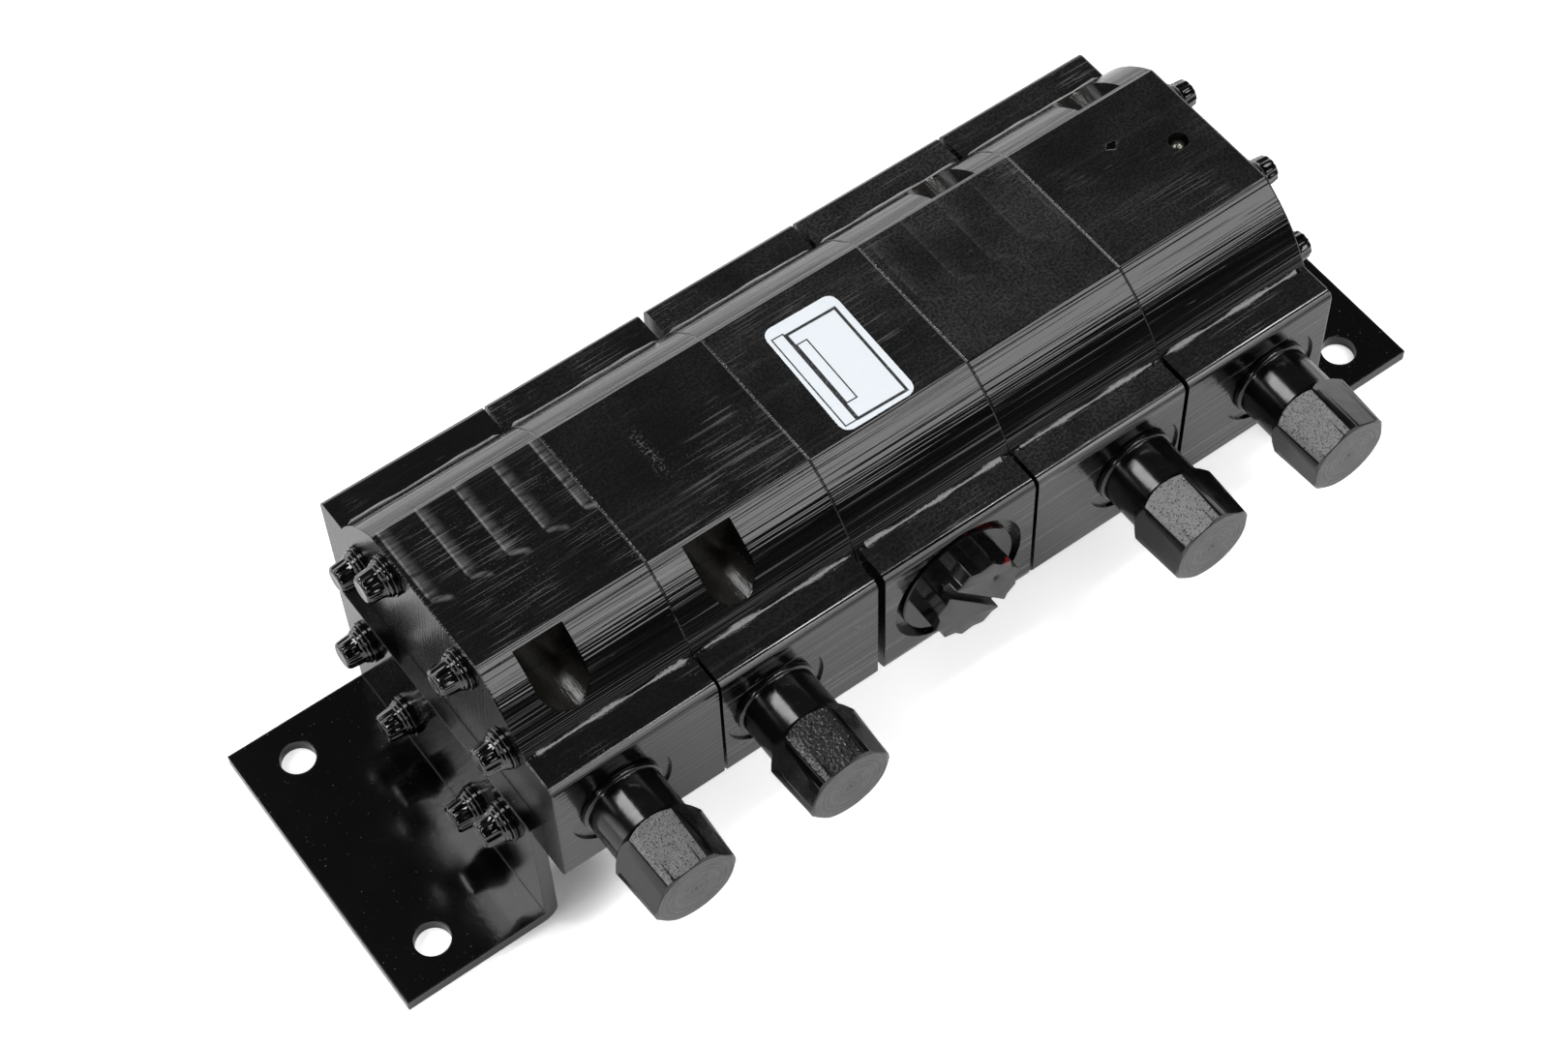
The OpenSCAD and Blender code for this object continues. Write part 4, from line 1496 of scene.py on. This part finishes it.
@dataclass(frozen=True)
class Softbox:
    """One rectangular lamp, which faces a point."""

    name: str
    at: Place
    aim: Place
    size: tuple[float, float]
    watts: float
    mirrored: bool = True

    def hang(self) -> None:
        """Adds the lamp, with its width level."""
        data = bpy.data.lights.new(self.name, "AREA")
        data.shape = "RECTANGLE"
        data.size, data.size_y = self.size
        data.energy = self.watts
        lamp = bpy.data.objects.new(self.name, data)
        away = np.array(self.at) - np.array(self.aim)
        z = away / np.linalg.norm(away)
        x = np.array([1.0, 0.0, 0.0]) - z * z[0]
        x /= np.linalg.norm(x)
        lamp.matrix_world = placed_axes(x, np.cross(z, x), z, self.at)
        lamp.visible_glossy = self.mirrored
        bpy.context.scene.collection.objects.link(lamp)


@dataclass
class Studio:
    """Camera, floor and soft light.

    A fade of the sky is where it starts and ends along an axis, and its two strengths.
    """

    camera_at: Place = (-0.23170, -0.32086, 0.62073)
    azimuth: float = 34.081
    elevation: float = 56.879
    roll: float = -2.546
    lens: float = 72.61
    sensor: float = 36.0
    floor_half: float = 4.0
    floor_z: float = -0.4 * MM
    pale: Colour = (0.91, 0.91, 0.91)
    grey: Colour = (0.89, 0.89, 0.89)
    contact: tuple[float, float] = (-101.0 * MM, -33.0 * MM)
    shade: tuple[float, float] = (4.0 * MM, 13.0 * MM)
    seen_glow: tuple[float, float] = (0.05, 0.57)
    mirrored_glow: float = 0.12
    height_fade: tuple[float, ...] = (0.06, 0.42, 1.0, 0.03)
    depth_fade: tuple[float, ...] = (-0.2, 0.8, 0.12, 3.3)
    lamps: tuple[Softbox, ...] = (
        Softbox("front_strip", (0.437, -0.815, 0.98), (0.0, 0.0, 0.05), (1.3, 0.48), 9.0),
        Softbox("overhead_strip", (0.46, -0.09, 1.25), (0.0, 0.0, 0.05), (0.5, 0.14), 5.5),
        Softbox("left_softbox", (-0.51, 0.42, 1.12), (-0.05, 0.0, 0.05), (0.62, 0.32), 6.0),
        Softbox("left_strip", (-0.95, -0.25, 0.75), (-0.1, 0.0, 0.05), (0.12, 0.8), 3.5),
        Softbox("fill", (0.0, -0.2, 2.2), (0.0, 0.0, 0.0), (2.4, 2.4), 4.5, mirrored=False),
    )

    def camera(self) -> None:
        """Sets the camera that the photo was taken from."""
        az, el, roll = (math.radians(a) for a in (self.azimuth, self.elevation, self.roll))
        ahead = np.array([math.sin(az) * math.cos(el), math.cos(az) * math.cos(el), -math.sin(el)])
        right = np.array([math.cos(az), -math.sin(az), 0.0])
        up = np.cross(right, ahead)
        x = right * math.cos(roll) + up * math.sin(roll)
        y = up * math.cos(roll) - right * math.sin(roll)
        data = bpy.data.cameras.new("camera")
        data.lens = self.lens
        data.sensor_width = self.sensor
        data.clip_start = 0.01
        camera = bpy.data.objects.new("camera", data)
        camera.matrix_world = placed_axes(x, y, -ahead, self.camera_at)
        bpy.context.scene.collection.objects.link(camera)
        bpy.context.scene.camera = camera

    def floor(self) -> None:
        """Lays the pale floor, which gains some light of its own in what is seen or mirrored."""
        line = np.array([-self.floor_half, self.floor_half])
        y, x = np.meshgrid(line, line, indexing="ij")
        grid = np.stack([x, y, np.full_like(x, self.floor_z)], axis=-1)
        piece = surface("floor", grid[None], wrap=False)
        g = ShaderGraph("floor_paper")
        tone = g.ramp(g.noise(g.coords, 6.0, 3.0), 0.3, 0.7)
        path = g.tree.nodes.new("ShaderNodeLightPath")
        x, y, _ = g.split(g.coords)
        off_x, off_y = g.plus(x, -self.contact[0]), g.plus(y, -self.contact[1])
        glow = g.ramp(g.length(g.times(off_x, 0.5), off_y), *self.shade, *self.seen_glow)
        seen = g.times(path.outputs["Is Camera Ray"], glow)
        mirrored = g.times(path.outputs["Is Glossy Ray"], self.mirrored_glow)
        g.set(
            Base_Color=g.blend(tone, self.pale, self.grey),
            Roughness=0.8,
            Specular_IOR_Level=0.1,
            Emission_Color=(1.0, 1.0, 1.0),
            Emission_Strength=g.plus(seen, mirrored),
        )
        piece.data.materials.append(g.material)

    def world(self) -> None:
        """Sets a sky that is bright at the back horizon, dark overhead and white to the camera."""
        world = bpy.data.worlds.new("studio")
        world.use_nodes = True
        tree = world.node_tree
        tree.nodes.clear()
        coords = tree.nodes.new("ShaderNodeTexCoord")
        split = tree.nodes.new("ShaderNodeSeparateXYZ")
        low = tree.nodes.new("ShaderNodeMapRange")
        back = tree.nodes.new("ShaderNodeMapRange")
        both = tree.nodes.new("ShaderNodeMath")
        both.operation = "MULTIPLY"
        for node, ends in ((low, self.height_fade), (back, self.depth_fade)):
            node.interpolation_type = "SMOOTHSTEP"
            for name, value in zip(("From Min", "From Max", "To Min", "To Max"), ends):
                node.inputs[name].default_value = value
        path = tree.nodes.new("ShaderNodeLightPath")
        white = tree.nodes.new("ShaderNodeMix")
        white.inputs["B"].default_value = 1.0
        light = tree.nodes.new("ShaderNodeBackground")
        light.inputs["Color"].default_value = (1.0, 1.0, 1.0, 1.0)
        end = tree.nodes.new("ShaderNodeOutputWorld")
        wires = (
            (coords.outputs["Generated"], split.inputs[0]),
            (split.outputs[2], low.inputs["Value"]),
            (split.outputs[1], back.inputs["Value"]),
            (low.outputs[0], both.inputs[0]),
            (back.outputs[0], both.inputs[1]),
            (both.outputs[0], white.inputs["A"]),
            (path.outputs["Is Camera Ray"], white.inputs["Factor"]),
            (white.outputs["Result"], light.inputs["Strength"]),
            (light.outputs[0], end.inputs[0]),
        )
        for start, finish in wires:
            tree.links.new(start, finish)
        bpy.context.scene.world = world

    def build(self) -> None:
        """Sets the whole studio."""
        self.camera()
        self.floor()
        self.world()
        for lamp in self.lamps:
            lamp.hang()
        bpy.context.scene.view_settings.view_transform = "Standard"


def main() -> None:
    """Builds every sub-assembly and the studio."""
    logging.basicConfig(level=logging.INFO, format="%(message)s")
    kinds = (HousingBlocks, TieBolts, ReliefValves, InletPlug, Label, Inside, Studio)
    for kind in kinds:
        kind().build()


if __name__ == "__main__":
    main()
